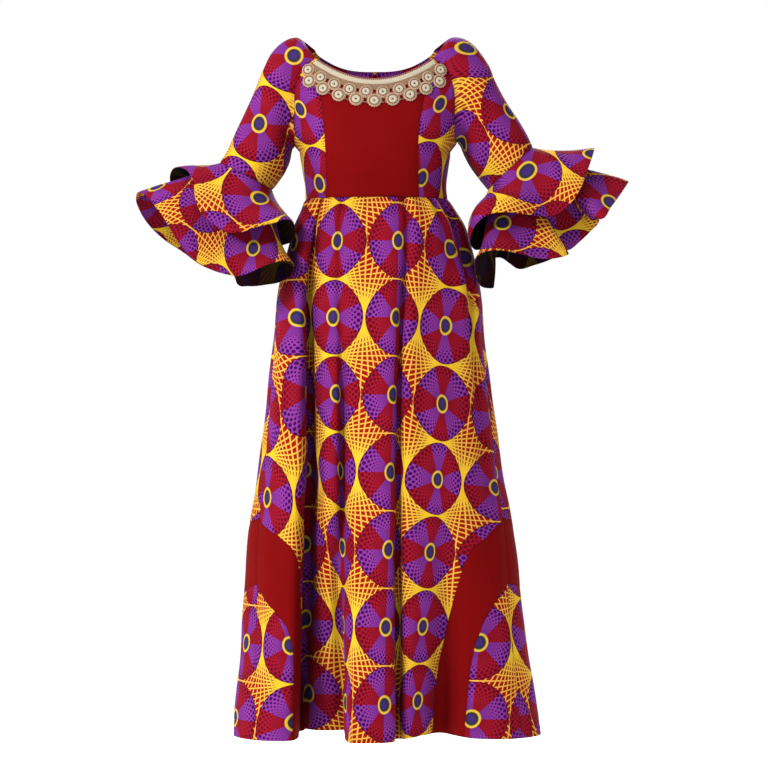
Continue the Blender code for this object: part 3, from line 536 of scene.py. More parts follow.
skirt = {
    "hem": -1391 * mm,
    "stations": (0.0, 0.221, 0.559, 1.0),  # shares of the way from waist to hem
    "hemLifts": (  # row of the folds, how far the hem is raised there
        (0, -4), (3, -1), (5, 10.5), (8, 12), (9.2, 0), (13, 1), (14, 5), (15, 9), (16, 9), (17.5, 2), (20, 0),
        (41, -4),
    ),
    "fullness": (  # height, how much wider the left side is than the folds give, and the right side
        (-324, 0, 0), (-345, 0.017, 0.055), (-372, 0.052, 0.112), (-410, 0.052, 0.107), (-488, 0.038, 0.062),
        (-596, -0.023, -0.026), (-692, -0.036, -0.036), (-788, -0.021, -0.017), (-884, -0.004, 0.002),
        (-954, 0.017, 0.020), (-1028, 0.021, 0.018), (-1124, 0.012, 0.003), (-1391, 0.006, 0),
    ),
    "folds": (  # waist x, inset there, then x and y at each lower station: the front from the left side seam
        (-137.5, 0, -197, -18, -222, -50, -238, -78), (-131, 0, -178, -70, -197, -92, -204, -104),
        (-112, 0, -143, -93, -146, -112, -160, -104), (-106, 3, -136, -82, -137, -98, -152, -82),
        (-102, 8, -138, -54, -142, -38, -143, 3), (-98, 4, -130, -57, -134, -35, -138, -8),
        (-90, 0, -116, -88, -108, -92, -114, -40), (-80, 0, -96, -110, -90, -120, -80, -46),
        (-71, 1, -76, -118, -73, -120, -60, -42), (-64, 3, -67, -116, -63, -104, -54, -146),
        (-55, 0, -55, -122, -50, -130, -42, -166), (-8, 0, -8, -134, -12, -151, -6, -171),
        (52, 0, 46, -133, 36, -150, 34, -158), (58, 4, 54, -119, 46, -126, 48, -101),
        (65, 0, 62, -130, 56, -145, 62, -134), (90, 0, 99, -120, 106, -140, 92, -116),
        (106, 0, 128, -108, 138, -128, 131, -66), (114, 0, 152, -96, 170, -118, 172, -96),
        (121, 0, 184, -76, 205, -98, 212, -108), (125, 9, 187, -54, 219, -84, 240, -106),
        (132, 2, 199, -50, 230, -75, 264, -98), (145.5, 0, 213, -14, 246, -48, 290, -80),
        (143.5, 0, 217, 10, 262, -6, 322, -42), (137, 0, 208, 44, 260, 36, 333, 8),
        (124, 0, 187, 72, 236, 82, 317, 62), (111, 4, 165, 82, 207, 93, 275, 81),
        (96, 0, 142, 107, 180, 131, 246, 136), (79, 5, 113, 102, 146, 117, 200, 120),
        (62, 0, 88, 124, 112, 158, 156, 184), (44, 5, 58, 109, 76, 135, 106, 144),
        (24, 0, 31, 128, 39, 167, 58, 198), (1, 5, 0, 112, -4, 138, 8, 142),
        (-19, 0, -26, 126, -38, 164, -48, 196), (-37, 4, -52, 112, -70, 136, -94, 142),
        (-60, 0, -86, 123, -110, 155, -144, 179), (-79, 5, -110, 99, -140, 114, -178, 120),
        (-98, 0, -138, 100, -170, 121, -214, 132), (-114, 4, -159, 74, -193, 83, -236, 76),
        (-126, 0, -181, 60, -221, 66, -266, 62), (-135, 0, -196, 24, -239, 24, -281, 10),
        (-136, 0, -199, -2, -236, -18, -268, -40),
    ),
    "sideBlend": 60 * mm,
    "rightSeam": 21,  # row of the folds on which the right side seam runs, the left one is on row 0
    "bandInner": (  # height, then the place in rows of the folds: front left, front right, back right, back left
        (-957, 0, 21, 21, 41), (-966, 0.25, 20.6, 22.4, 39.6), (-987, 1.25, 18.9, 24.3, 38.2),
        (-1012, 1.75, 17.5, 25.3, 37.2), (-1048, 2.2, 17.0, 26.1, 36.3), (-1100, 2.7, 16.63, 26.8, 35.6),
        (-1170, 3.3, 16.2, 27.3, 35.1), (-1250, 3.9, 15.83, 27.6, 34.8), (-1391, 4.3, 15.62, 27.9, 34.5),
    ),
    "bandOuter": (
        (-1087, 0, 21, 21, 41), (-1097, 0.21, 20.58, 22.2, 40.0), (-1113, 0.55, 19.9, 23.2, 39.2),
        (-1134, 1.1, 19.0, 24.0, 38.5), (-1166, 1.6, 18.1, 24.7, 37.8), (-1205, 1.86, 17.68, 25.3, 37.2),
        (-1250, 1.95, 17.45, 25.7, 36.8), (-1391, 2.0, 17.1, 26.0, 36.5),
    ),
    "topRows": (-324, -385, -460, -550, -655, -765, -865, -957),
    "innerRows": (-957, -966, -987, -1012, -1048, -1100, -1170, -1250, -1391),
    "outerRows": (-1087, -1097, -1113, -1134, -1166, -1205, -1250, -1310, -1391),
    "cornerTip": -1088,
    "columnsPerFold": 8, "bandColumns": 40,
    "drawnFolds": 6.5,  # how many folds beside a band draw together
    "gathers": (1.5 * mm, 27 * mm, 50 * mm, 10 * mm),  # height, width, how soon they fade, how far down they start
    "rowStep": 8, "rowsBetween": 7,  # millimetres between rows above the bands, rows to each table row beside them
}
turn = len(skirt["folds"])
cornerColumns = {"front_left": 1, "front_right": 2, "back_right": 3, "back_left": 4}


def skirtNodes():
    stations = np.empty((len(skirt["stations"]), turn, 2))
    table = np.array(skirt["folds"], float) * mm
    for number, (x, inset) in enumerate(table[:, :2]):
        back = number > skirt["rightSeam"]
        depth = float(bodyDepth(np.array(x), np.array(bodice["waist"]), back)) - inset
        stations[0, number] = (x, depth if back else -depth)
    stations[1:] = table[:, 2:].reshape(turn, 3, 2).swapaxes(0, 1)
    return stations


foldNodes = skirtNodes()


def skirtPoint(place, height):  # place runs along the rows of the folds
    place, height = np.broadcast_arrays(np.asarray(place, float), np.asarray(height, float))
    share = (height - bodice["waist"]) / (skirt["hem"] - bodice["waist"])
    spot = roundThrough(blend(skirt["stations"], foldNodes, share), place)
    fuller = np.array(skirt["fullness"][::-1])
    sides = blend(fuller[:, 0] * mm, fuller[:, 1:], height)
    wider = mixed(sides[..., 0], sides[..., 1], 0.5 + 0.5 * np.tanh(spot[..., 0] / skirt["sideBlend"]))
    lifts = np.array(skirt["hemLifts"]) * (1, mm)
    lift = np.interp(place % turn, lifts[:, 0], lifts[:, 1]) * share ** 2
    return np.stack([spot[..., 0] * (1 + wider), spot[..., 1], height + lift], -1)


def skirtNormal(place, height):
    return surfaceNormal(skirtPoint, place, height, 0.01)


def placeOn(edge, corner, heights):
    rows = np.array(skirt[edge], float)[::-1]
    return np.interp(np.asarray(heights, float), rows[:, 0], rows[:, cornerColumns[corner]])


def fineHeights(rows, step):  # heights between those of a table, no further apart than step
    parts = [np.linspace(a, b, max(1, math.ceil((a - b) / step)), endpoint=False) for a, b in zip(rows, rows[1:])]
    return np.append(np.concatenate(parts), rows[-1])


def sharedRows(rows):  # the same number of rows between each two heights, for pieces that meet on a band's edge
    return finer(np.array(rows, float)[:, None], skirt["rowsBetween"])[:, 0]


def skirtPanel(left, right, leftCorner, rightCorner):  # places and heights of the printed middle panel
    # its columns keep their place in the middle and draw together beside the bands
    rows = skirt["innerRows"]
    heights = np.concatenate([fineHeights(skirt["topRows"], skirt["rowStep"])[:-1], sharedRows(rows)])
    low, high = (np.where(heights >= rows[0], seam, placeOn("bandInner", corner, heights))[:, None]
                 for seam, corner in ((left, leftCorner), (right, rightCorner)))
    wide = left + (right - left) * np.linspace(0, 1, (right - left) * skirt["columnsPerFold"] + 1)
    near, far = left + skirt["drawnFolds"], right - skirt["drawnFolds"]
    place = np.where(wide < near, low + (wide - left) * (near - low) / (near - left), wide)
    place = np.where(wide > far, far + (wide - far) * (high - far) / (right - far), place)
    return place, np.repeat(heights[:, None], place.shape[1], 1)


def bandPatch(seam, corner):
    heights = [sharedRows(skirt[rows]) for rows in ("innerRows", "outerRows")]
    edges = [placeOn(edge, corner, rows) for edge, rows in zip(("bandInner", "bandOuter"), heights)]
    edges[0][0] = edges[1][0] = seam
    share = np.linspace(0, 1, skirt["bandColumns"] + 1)
    return [mixed(inner[:, None], outer[:, None], share) for inner, outer in (edges, heights)]


def cornerPatch(seam, corner):
    heights = sharedRows(skirt["outerRows"])
    heights[0] = skirt["cornerTip"]
    share = np.linspace(0, 1, skirt["bandColumns"] + 1)
    place = mixed(seam, placeOn("bandOuter", corner, heights)[:, None], share)
    return place, np.repeat(heights[:, None], place.shape[1], 1)


skirtPrint = {
    "levels": (-324, -413, -565, -713, -861, -1009, -1177, -1325, -1391),
    "columns": {  # place at those heights of each wheel column, and of the lines halfway between
        -1.5: (-0.4, -0.5, -0.6, 0.90, 1.64, 1.97, 2.60, 3.00, 3.05),
        -1: (0.60, 0.86, 1.80, 3.40, 4.00, 4.00, 5.00, 5.40, 5.45),
        -0.5: (4.60, 5.00, 5.17, 5.68, 5.95, 6.88, 7.39, 7.92, 7.97),
        0: (9.00, 8.55, 7.70, 7.98, 8.60, 8.91, 8.97, 9.10, 9.15),
        0.5: (10.91, 10.92, 10.75, 10.65, 10.48, 10.39, 10.22, 10.04, 10.00),
        1: (11.85, 11.83, 11.92, 11.91, 11.88, 11.82, 11.67, 11.58, 11.55),
        1.5: (15.00, 14.81, 14.74, 14.45, 14.08, 13.53, 13.29, 13.05, 12.99),
        2: (17.20, 17.17, 16.44, 16.10, 15.65, 15.12, 14.85, 14.65, 14.62),
        2.5: (21.30, 21.50, 19.99, 17.94, 17.15, 16.60, 16.31, 15.95, 15.90),
        3: (24.00, 24.00, 21.90, 21.60, 20.65, 20.30, 20.40, 20.40, 20.40),
    },
    "pleat": (  # height, place of the small pleat on the right, how many columns it takes up
        (-324, 17.6, 0.8), (-413, 17.75, 0.8), (-470, 18.3, 0.75), (-515, 19.0, 0.45), (-550, 19.8, 0.0),
    ),
    "side": 142 * mm, "sideColumns": 6,  # from column to column outside those, and how many there are
    "pleatEdge": 0.05,  # how sharply the pleat takes its columns up, in places
    "squeeze": (0.3, ((-0.6, -0.4), (2.5, 2.7))),  # how much narrower the eyes are, between these columns
    "backMiddle": 31,  # place of the middle wheel column on the back
    "backGather": (0.25, -600 * mm),  # how much closer its columns lie at the waist, and from what height on
    "firstRow": -410.5 * mm,
    "rightLag": (14, 15, 16, 20, 19, 10, 6, 2, 0),  # how much lower each column right of column 1 lies
    "leftLag": (0, 0, 10, 28, 47, 60, 70, 70, 70),  # and the columns left of column -1
    "lagEdge": (1.0, 1.5),  # columns left of the middle one between which that sets in
    "corners": {  # on the pieces outside the bands: place and height of a wheel centre, its lower neighbour,
        # column, row, and how closely the columns lie at the two
        "front_left": (1.75, -1204, 2.15, -1349, 0, 1, 1.22, 0.87),
        "front_right": (17.90, -1201, 17.50, -1349, 1, 1, 1, 1),
        "back_left": (40.20, -1204, 39.45, -1349, -1, 1, 1.22, 0.87),
        "back_right": (22.6, -1195, 23.2, -1345, 0, 1, 1, 1),
    },
}


def arcTable():  # the distance along the skirt, by place and height
    places = np.linspace(-2, turn + 2, (turn + 4) * 12 + 1)
    levels = np.linspace(-1391, -324, 101) * mm
    return places, levels, arcLengths(skirtPoint(places[None, :], levels[:, None]), 1)


arcPlaces, arcLevels, arcRows = arcTable()


def onSkirt(table, place, height):  # the table's value at each place and height
    return lookUp(table, spotIn(arcLevels, height), spotIn(arcPlaces, place))


def atLevel(height, values, levels=skirtPrint["levels"]):
    return np.interp(-height / mm, -np.array(levels, float), values)


def frontColumns():  # print columns along each level of the arc table
    across = np.empty_like(arcRows)
    numbers = sorted(skirtPrint["columns"])
    heights, places, sizes = np.array(skirtPrint["pleat"]).T
    more = skirtPrint["sideColumns"]
    for row, level in enumerate(arcLevels):
        spots = [atLevel(level, skirtPrint["columns"][number]) for number in numbers]
        arcs = list(np.interp(spots, arcPlaces, arcRows[row]))
        knots = [arcs[0] - more * skirtPrint["side"]] + arcs + [arcs[-1] + more * skirtPrint["side"]]
        across[row] = np.interp(arcRows[row], knots, [numbers[0] - more] + numbers + [numbers[-1] + more])
        where, size = (atLevel(level, values, heights) for values in (places, sizes))
        across[row] += size * ramp(arcPlaces, where - skirtPrint["pleatEdge"], where + skirtPrint["pleatEdge"])
    squeeze, (left, right) = skirtPrint["squeeze"]
    squeeze = squeeze * ramp(across, *left) * (1 - ramp(across, *right))
    return across + squeeze * np.sin(2 * math.pi * across) / (2 * math.pi)


def backColumns():
    more, start = skirtPrint["backGather"]
    gather = 1 + more * ramp(arcLevels, start, bodice["waist"])[:, None]
    middle = np.array([np.interp(skirtPrint["backMiddle"], arcPlaces, row) for row in arcRows])[:, None]
    return (arcRows - middle) * gather / pitch


frontAcross, backAcross = frontColumns(), backColumns()


def gathered(place, height):  # how far the small gathers below the waist stand out
    high, wide, fade, start = skirt["gathers"]
    along = np.interp(place, arcPlaces, arcRows[-1]) * 2 * math.pi / wide
    drop = bodice["waist"] - height
    waves = np.sin(along) + 0.6 * np.sin(1.62 * along + 1.3)  # two waves that never repeat together
    return (high * waves * np.exp(-drop / fade) * ramp(drop, 0, start))[..., None]


def skirtPrintOf(name, place, height):
    if name.startswith("corner"):
        upperPlace, upperZ, lowerPlace, lowerZ, column, row, upperTight, lowerTight = skirtPrint["corners"][name[7:]]
        down = upperZ * mm - height
        share = down / ((upperZ - lowerZ) * mm)
        centre = onSkirt(arcRows, mixed(upperPlace, lowerPlace, share), height)
        tight = mixed(upperTight, lowerTight, share)
        across = (onSkirt(arcRows, place, height) - centre) / pitch * tight
        return np.stack([across + column, down / pitch + row], -1)
    if name == "skirt_back":
        return np.stack([onSkirt(backAcross, place, height), (skirtPrint["firstRow"] - height) / pitch], -1)
    across = onSkirt(frontAcross, place, height)
    right, left = (atLevel(height, skirtPrint[lag]) * mm for lag in ("rightLag", "leftLag"))
    lag = right * np.clip(across - 1, 0, 2) + left * ramp(-across, *skirtPrint["lagEdge"])
    return np.stack([across, (skirtPrint["firstRow"] - height - lag) / pitch], -1)


# Cloth finishes

dyes = {  # red, green and blue as they look on a screen
    "red": (160, 22, 44), "deepRed": (134, 14, 32), "redDot": (104, 7, 27),
    "purple": (146, 58, 156), "deepPurple": (112, 42, 134), "purpleDot": (62, 10, 90),
    "rim": (84, 10, 34), "yellow": (252, 202, 44), "paleLine": (254, 188, 78),
    "eyeRing": (230, 190, 64), "eyeOlive": (104, 96, 40), "eyeDark": (52, 48, 58), "eyeCore": (68, 46, 116),
    "holeOlive": (120, 80, 2), "holeRed": (160, 26, 6), "plain": (136, 10, 12),
}


def dye(screen, strength):  # a screen colour as light
    values = [v / 255 for v in screen]
    return tuple((v / 12.92 if v <= 0.04045 else ((v + 0.055) / 1.055) ** 2.4) * strength for v in values) + (1.0,)


class Wire:  # one number that runs through a node tree, so that sums can be written as sums
    def __init__(self, tree, socket):
        self.tree, self.socket = tree, socket

    def through(self, kind, *others, first=None, clamp=False):
        node = self.tree.nodes.new("ShaderNodeMath")
        node.operation, node.use_clamp = kind, clamp
        values = ((self,) + others) if first is None else ((first, self) + others)
        for socket, value in zip(node.inputs, values):
            if isinstance(value, Wire):
                self.tree.links.new(value.socket, socket)
            else:
                socket.default_value = value
        return Wire(self.tree, node.outputs[0])

    def __add__(self, other): return self.through("ADD", other)
    def __sub__(self, other): return self.through("SUBTRACT", other)
    def __rsub__(self, other): return self.through("SUBTRACT", first=other)
    def __mul__(self, other): return self.through("MULTIPLY", other)
    def floor(self): return self.through("FLOOR")
    def part(self): return self.through("FRACT")
    def size(self): return self.through("ABSOLUTE")
    def root(self): return self.through("SQRT")
    def least(self, other): return self.through("MINIMUM", other)
    def most(self, other): return self.through("MAXIMUM", other)
    def odd(self): return (self * 0.5).part() * 2.0  # 1 for odd whole numbers, 0 for even ones
    def wrapped(self): return (self + 0.5).part() - 0.5  # distance to the nearest whole number
    def over(self, edge, soft): return (self - (edge - soft / 2)).through("MULTIPLY", 1 / soft, clamp=True)
    def under(self, edge, soft): return 1.0 - self.over(edge, soft)


def newNode(tree, kind, **inputs):
    node = tree.nodes.new("ShaderNode" + kind)
    for name, value in inputs.items():
        node.inputs[name].default_value = value
    return node


def axesOf(tree, socket):  # the numbers of a vector
    split = newNode(tree, "SeparateXYZ")
    tree.links.new(socket, split.inputs[0])
    return [Wire(tree, part) for part in split.outputs]


def placeOnCloth(tree, layer):
    node = newNode(tree, "UVMap")
    node.uv_map = layer
    return axesOf(tree, node.outputs[0])[:2]


def mixer(tree, colours, strength):  # a function that blends two colours, each a colour's name or a socket
    def mix(share, first, second):
        node = newNode(tree, "Mix")
        node.data_type = "RGBA"
        tree.links.new(share.socket, node.inputs[0])
        for socket, value in ((node.inputs[6], first), (node.inputs[7], second)):
            if isinstance(value, str):
                socket.default_value = dye(colours[value], strength)
            else:
                tree.links.new(value, socket)
        return node.outputs[2]

    return mix


def newFinish(name, roughness, gloss):
    material = bpy.data.materials.new(name)
    material.use_nodes = True
    shader = material.node_tree.nodes["Principled BSDF"]
    shader.inputs["Roughness"].default_value = roughness
    shader.inputs["Specular IOR Level"].default_value = gloss
    return material, material.node_tree, shader


def addRelief(tree, shader, height, strength, depth):
    bump = newNode(tree, "Bump", Strength=strength, Distance=depth)
    tree.links.new(height.socket, bump.inputs["Height"])
    tree.links.new(bump.outputs[0], shader.inputs["Normal"])


wheels = {  # sizes in shares of the pitch, the dots' in shares of a wheel's radius; "Soft" is an edge's softness
    "radius": 0.485, "rim": 0.008, "rimSoft": 0.006, "edgeSoft": 0.004,
    "eye": 0.123, "eyeRing": 0.031, "eyeCore": (0.057, 0.03), "eyeOlive": (0.086, 0.02),  # the last two with softness
    "dotRings": 0.102, "dotAngle": math.radians(10), "dotSize": 0.042,
    "dotsFrom": 0.14, "dotGrowth": 1.7, "dotEdge": 60.0,  # where the dots begin, how they grow, how crisp they are
    "paler": (0.45, 0.5),  # where a wedge turns paler, and how softly
    "fan": math.radians(6.5), "line": 0.0165, "lineSoft": 0.005,
    "tipLines": (0.009, -0.02),  # how much wider the net's lines are at a tip, and how that changes outwards
    "open": (0.32, 0.34),  # where the net's colours change on the way from a tip, and how softly
}


def wheelPattern(tree, across, down, strength):  # the print: wheels of eight wedges, with nets of lines between them
    mix = mixer(tree, dyes, strength)
    column, row = (across + 0.5).floor(), (down + 0.5).floor()
    x, y = across - column, down - row
    radius = (x * x + y * y).root()
    turned = x.through("ARCTAN2", y * -1.0)
    wedge = (turned * (4 / math.pi) - column.odd() * 0.5 + 0.5).floor()
    reach = radius * (1 / wheels["radius"])
    rings = reach.most(0.01).through("LOGARITHM", math.e) * (1 / wheels["dotRings"])
    ring = (rings + 0.5).floor()
    spokes = turned * (1 / wheels["dotAngle"]) + ring.odd() * 0.5
    awayIn, awayRound = (rings - ring) * wheels["dotRings"], spokes.wrapped() * wheels["dotAngle"]
    dotReach = (awayIn * awayIn + awayRound * awayRound).root()
    grown = (reach - wheels["dotsFrom"]) * wheels["dotGrowth"]
    grown = grown.through("MULTIPLY", wheels["dotSize"], clamp=True)
    dot = ((dotReach - grown) * -wheels["dotEdge"] + 0.5).through("ADD", 0.0, clamp=True)
    shade = reach.over(*wheels["paler"])
    face = mix((wedge + row).odd(), mix(dot, mix(shade, "deepRed", "red"), "redDot"),
               mix(dot, mix(shade, "deepPurple", "purple"), "purpleDot"))
    face = mix(radius.over(wheels["radius"] - wheels["rim"] / 2, wheels["rimSoft"]), face, "rim")
    centre = mix(radius.over(*wheels["eyeCore"]), "eyeCore", "eyeDark")
    centre = mix(radius.over(*wheels["eyeOlive"]), centre, "eyeOlive")
    centre = mix(radius.over(wheels["eye"] - wheels["eyeRing"], wheels["rimSoft"]), centre, "eyeRing")
    face = mix(radius.under(wheels["eye"], wheels["edgeSoft"]), face, centre)
    # the ground: lines fan out from the solid tips between wheels, and cross
    foldX, foldY = across.through("PINGPONG", 1.0), (down - 1.0).through("PINGPONG", 1.0)
    wider, taper = wheels["tipLines"]
    lines, tips = [], []
    for tipX, tipY in ((0.0, 0.5), (0.5, 0.0)):
        dx, dy = foldX - tipX, foldY - tipY
        far = (dx * dx + dy * dy).root()
        fan = (dy.through("ARCTAN2", dx) * (1 / wheels["fan"])).wrapped().size() * wheels["fan"]
        lines.append((far * fan - (far * taper + wider).most(0.0)).under(wheels["line"] / 2, wheels["lineSoft"]))
        tips.append(far)
    openness = tips[0].least(tips[1]).over(*wheels["open"])
    ground = mix(lines[0].most(lines[1]), mix(openness, "holeOlive", "holeRed"), mix(openness, "yellow", "paleLine"))
    return mix(radius.over(wheels["radius"] + wheels["rim"] / 2, wheels["edgeSoft"]), face, ground)


look = {
    "threads": 260, "grain": 0.035,  # threads to a pitch of the print, and how much they and wear vary the colour
    "wear": (22.0, 4.0),  # how fine the uneven wear is, and its detail
    "stitch": (0.33, 0.1, 0.42, 0.2, 0.3),  # half length, its softness, half width, its softness, darkness
    "crease": (1.2, 0.35),  # width of a seam's pressed crease in millimetres, and its darkness
    "relief": (2.0, 3.0, 1.6, 3.0),  # of wear and stitches, and width and depth of the groove they lie in
    "bump": (0.35, 0.2 * mm),  # strength and depth of all relief
    "gloss": 0.02, "sheenSpread": 0.45,
    "reach": 0.12, "fall": 1.6, "dark": 0.74,  # painted shade where other cloth is near, in folds and under flounces: how near, how fast it darkens, and how far at most
}
inside = {  # painted shade on the insides of the deep finish, left off only at the left flounces' outer ends, which are open to the light: where those start, and how softly
    "left": (-0.33, 0.06), "height": (-0.29, 0.03), "dark": 0.06,
}


def clothFinish(name, strength, roughness, sheen, plain=False, shaded=False):
    material, tree, shader = newFinish(name, roughness, look["gloss"])
    across, down = placeOnCloth(tree, "print")
    along, away = placeOnCloth(tree, "seam")
    where = newNode(tree, "TexCoord").outputs["Object"]
    noise = newNode(tree, "TexNoise", Scale=look["wear"][0], Detail=look["wear"][1])
    tree.links.new(where, noise.inputs["Vector"])
    worn = Wire(tree, noise.outputs[0])
    over, under = ((part * (math.pi * look["threads"])).through("SINE") for part in (across, down))
    weave = over * under
    half, soft, width, widthSoft, stitchDark = look["stitch"]
    row = (away - cloth["stitchIn"]).size()
    stitch = (along * (1 / cloth["stitch"])).wrapped().size().under(half, soft) * row.under(width, widthSoft)
    crease, creaseDark = look["crease"]
    grain = look["grain"]
    value = worn * (2 * grain) + (1 - grain) + weave * grain - stitch * stitchDark
    value = value - away.under(crease, crease) * creaseDark
    # painted shade: the colour darkens where other cloth is near, in folds, hollows and under flounces
    paintedFoldShade = newNode(tree, "AmbientOcclusion", Distance=look["reach"])
    paintedFoldShade.samples = 4
    value = value * Wire(tree, paintedFoldShade.outputs["AO"]).through("POWER", look["fall"]).most(look["dark"])
    # painted shade: the inside is darkened everywhere but at the left flounces' outer ends
    if shaded:
        x, _, z = axesOf(tree, where)
        lit = x.under(*inside["left"]) * z.under(*inside["height"])
        value = value * (lit * (1 - inside["dark"]) + inside["dark"])
    tone = newNode(tree, "HueSaturation")
    if plain:
        tone.inputs["Color"].default_value = dye(dyes["plain"], strength)
    else:
        tree.links.new(wheelPattern(tree, across, down, strength), tone.inputs["Color"])
    tree.links.new(value.socket, tone.inputs["Value"])
    tree.links.new(tone.outputs[0], shader.inputs["Base Color"])
    shader.inputs["Sheen Weight"].default_value = sheen
    shader.inputs["Sheen Roughness"].default_value = look["sheenSpread"]
    wearHigh, stitchHigh, grooveWide, grooveDeep = look["relief"]
    height = weave + worn * wearHigh + stitch * stitchHigh - row.under(grooveWide, grooveWide) * grooveDeep
    addRelief(tree, shader, height, *look["bump"])
    return material


# the strength of its colours, roughness and sheen of each
waxPrint = clothFinish("waxPrint", 0.68, 0.7, 0.01)
# the inner side is rougher, and its colours are stronger than the front's as painted light
printed = (waxPrint, clothFinish("waxPrintBack", 0.85, 0.85, 0.0))
# the inside of the flounces and skirt has weaker colours as painted shade, and is darkened further by the shaded mask
paintedShadeInside = (waxPrint, clothFinish("waxPrintPaintedShadeInside", 0.45, 0.85, 0.0, shaded=True))
# the plain red's inner side has weaker colours as painted shade
plainCloth = (clothFinish("plainRed", 0.62, 0.75, 0.01, plain=True),
              clothFinish("plainRedBack", 0.3, 0.85, 0.0, plain=True))
print("finishes made")


# The pieces

flatSizes = {  # width and length of each cut piece in metres, and its area in square metres
    "sleeve": (0.40, 0.30, 0.086), "flounce_upper": (0.62, 0.32, 0.084), "flounce_lower": (0.74, 0.42, 0.138),
    "bodice_front_centre": (0.22, 0.26, 0.051), "bodice_side": (0.12, 0.31, 0.026), "bodice_back": (0.24, 0.31, 0.051),
    "skirt_front": (1.02, 1.07, 0.70), "skirt_back": (1.05, 1.07, 0.74),
    "band_front": (0.18, 0.46, 0.037), "band_back": (0.26, 0.47, 0.061),
    "corner_front": (0.16, 0.31, 0.026), "corner_back": (0.27, 0.31, 0.058),
    "neck_lace": (0.30, 0.06, 0.014),
}


def declared(name):  # the row of flatSizes for a node
    while name not in flatSizes:
        name = name.rsplit("_", 1)[0]
    width, tall, area = flatSizes[name]
    return {"flat": (width, tall), "area": area}


def wall(name, outer, normals, prints, finish=printed, closed=False, held="hung"):
    piece = makeShell(name + "Cloth", outer, normals, prints, finish, closed)
    sewOn(piece, name, "plain_red" if finish is plainCloth else "wax_print", held=held, **declared(name))


def bodiceWall(name, panel, prints, finish=printed):
    wall("bodice_" + name, bodyPoint(*panel), bodyNormal(*panel), prints, finish, held="stretched")


def makeBodice():
    outer, princess = {}, {}
    for side in (-1, 1):
        outer[side] = outerEdge("raglanFront", side, False)
        princess[side] = princessEdge(side, outer[side])
    panel = bodicePanel(princess[-1], princess[1], "neckFront", bodice["columns"]["front"])
    prints = np.stack([bodyArc(*panel) / pitch, panel[1] / -pitch], -1)
    bodiceWall("front_centre", panel, prints, plainCloth)
    for side, word in ((-1, "left"), (1, "right")):
        panel = bodicePanel(outer[side], princess[side], "neckFront", bodice["columns"]["side"])
        bodiceWall("side_" + word, panel, sidePrint(side, *panel))
        seam = outerEdge("raglanBack", side, True)
        centre = innerEdge(seam, neckHeight(0.0, "neckBack"), lambda z: side * math.pi)
        panel = bodicePanel(seam, centre, "neckBack", bodice["columns"]["back"])
        bodiceWall("back_" + word, panel, backPrint(side, *panel))


def makeSleeves():
    for side, word in ((-1, "left"), (1, "right")):
        grid, plain, angles = sleeveGrid(side)
        wall("sleeve_" + word, grid, tubeNormals(grid), sleevePrint(side, grid, plain, angles), closed=True)
        for name in ("upper_" + word, "lower_" + word):
            grid = flounceGrid(name)
            wall("flounce_" + name, grid, tubeNormals(grid), flouncePrint(name, grid), paintedShadeInside, closed=True)


def skirtWall(name, place, height, finish=paintedShadeInside, held="hung"):
    height = height * mm
    normals = skirtNormal(place, height)
    outer = skirtPoint(place, height) + normals * gathered(place, height)
    wall(name, outer, normals, skirtPrintOf(name, place, height), finish, held=held)


def makeSkirt():
    seam = skirt["rightSeam"]
    skirtWall("skirt_front", *skirtPanel(0, seam, "front_left", "front_right"), held="gathered")
    skirtWall("skirt_back", *skirtPanel(seam, turn, "back_right", "back_left"), held="gathered")
    for corner, place in (("front_left", 0), ("front_right", seam), ("back_right", seam), ("back_left", turn)):
        skirtWall("band_" + corner, *bandPatch(place, corner), plainCloth)
        skirtWall("corner_" + corner, *cornerPatch(place, corner))


makeBodice()
print("bodice made")
makeSleeves()
print("sleeves and flounces made")
makeSkirt()
print("skirt made")


# Lace

lace = {
    "half": 113 * mm, "rosettes": 9,  # half its length along x, and how many hang in the lower row
    "lift": 1.0 * mm, "net": 0.9 * mm,  # how far it stands off, and its thickness
    "foot": 0.2 * mm,  # how far the rosettes' underside lies above the net's
    "depth": 50.5, "endDepth": 37.0,  # of the net, in the middle and at its ends, in millimetres
    "endRound": (0.1, 0.45),  # rosette steps from an end where that changes
    "rows": 40, "columns": 24,  # of the net's grid, the columns to a rosette
    "band": (3.6, 12.6, 0.6),  # the raised cream band: where it starts and ends, and its height
    "slits": ((0.5, 24.5, 32.0, 2.4), (0.0, 42.0, 49.5, 2.4)),  # place between rosettes, start, end, half width
    "longer": 1.09,  # the neck edge against its width
    "upper": (28.6, 13.0, 0.0), "lower": (46.0, 13.8, 0.5),  # depth, radius and place of each row of rosettes
    "relief": (  # share of a rosette's radius, height in millimetres
        (0.0, 0.7), (0.12, 0.7), (0.18, 1.5), (0.32, 2.2), (0.46, 2.1), (0.56, 1.5), (0.63, 0.7),
        (0.76, 1.3), (0.88, 1.3), (1.0, 0.2),
    ),
    "picots": 16, "picotDepth": 0.055, "picotsFrom": 0.8,  # the small scallops round a rosette's edge
}
laceColours = {
    "cream": (238, 226, 200), "creamShade": (204, 186, 152), "tan": (172, 144, 108), "brown": (98, 64, 50),
    "pink": (214, 158, 138), "dot": (78, 12, 16), "centre": (112, 112, 84),
}
laceLook = {  # pairs are an edge and its softness
    "strength": 0.6, "bump": (0.6, 0.5 * mm),
    "mesh": (22, 1.3), "threads": (44, 0.65),  # crossings to a rosette step, and their height in millimetres
    "holes": (0.35, 0.3), "knots": (0.55, 0.3), "bandSoft": 0.5, "topSoft": 0.3,
    "ribs": (1.1, 0.6, 0.6),  # of the cream band: height in millimetres, edge, softness
    "dots": (7.0, 3.9, 1.7, 1.35, 0.3),  # along the neck edge: to a rosette step, spacing, depth, radius, softness
    "petals": (20.0, 0.55, 0.7), "ring": (24.0, 0.1, 0.6), "rim": (16.0, 0.3, 0.8),  # number round a rosette first
    "centre": (0.15, 0.04), "petalsFrom": (0.2, 0.1), "ringFrom": (0.57, 0.03), "rimFrom": (0.8, 0.04),
}


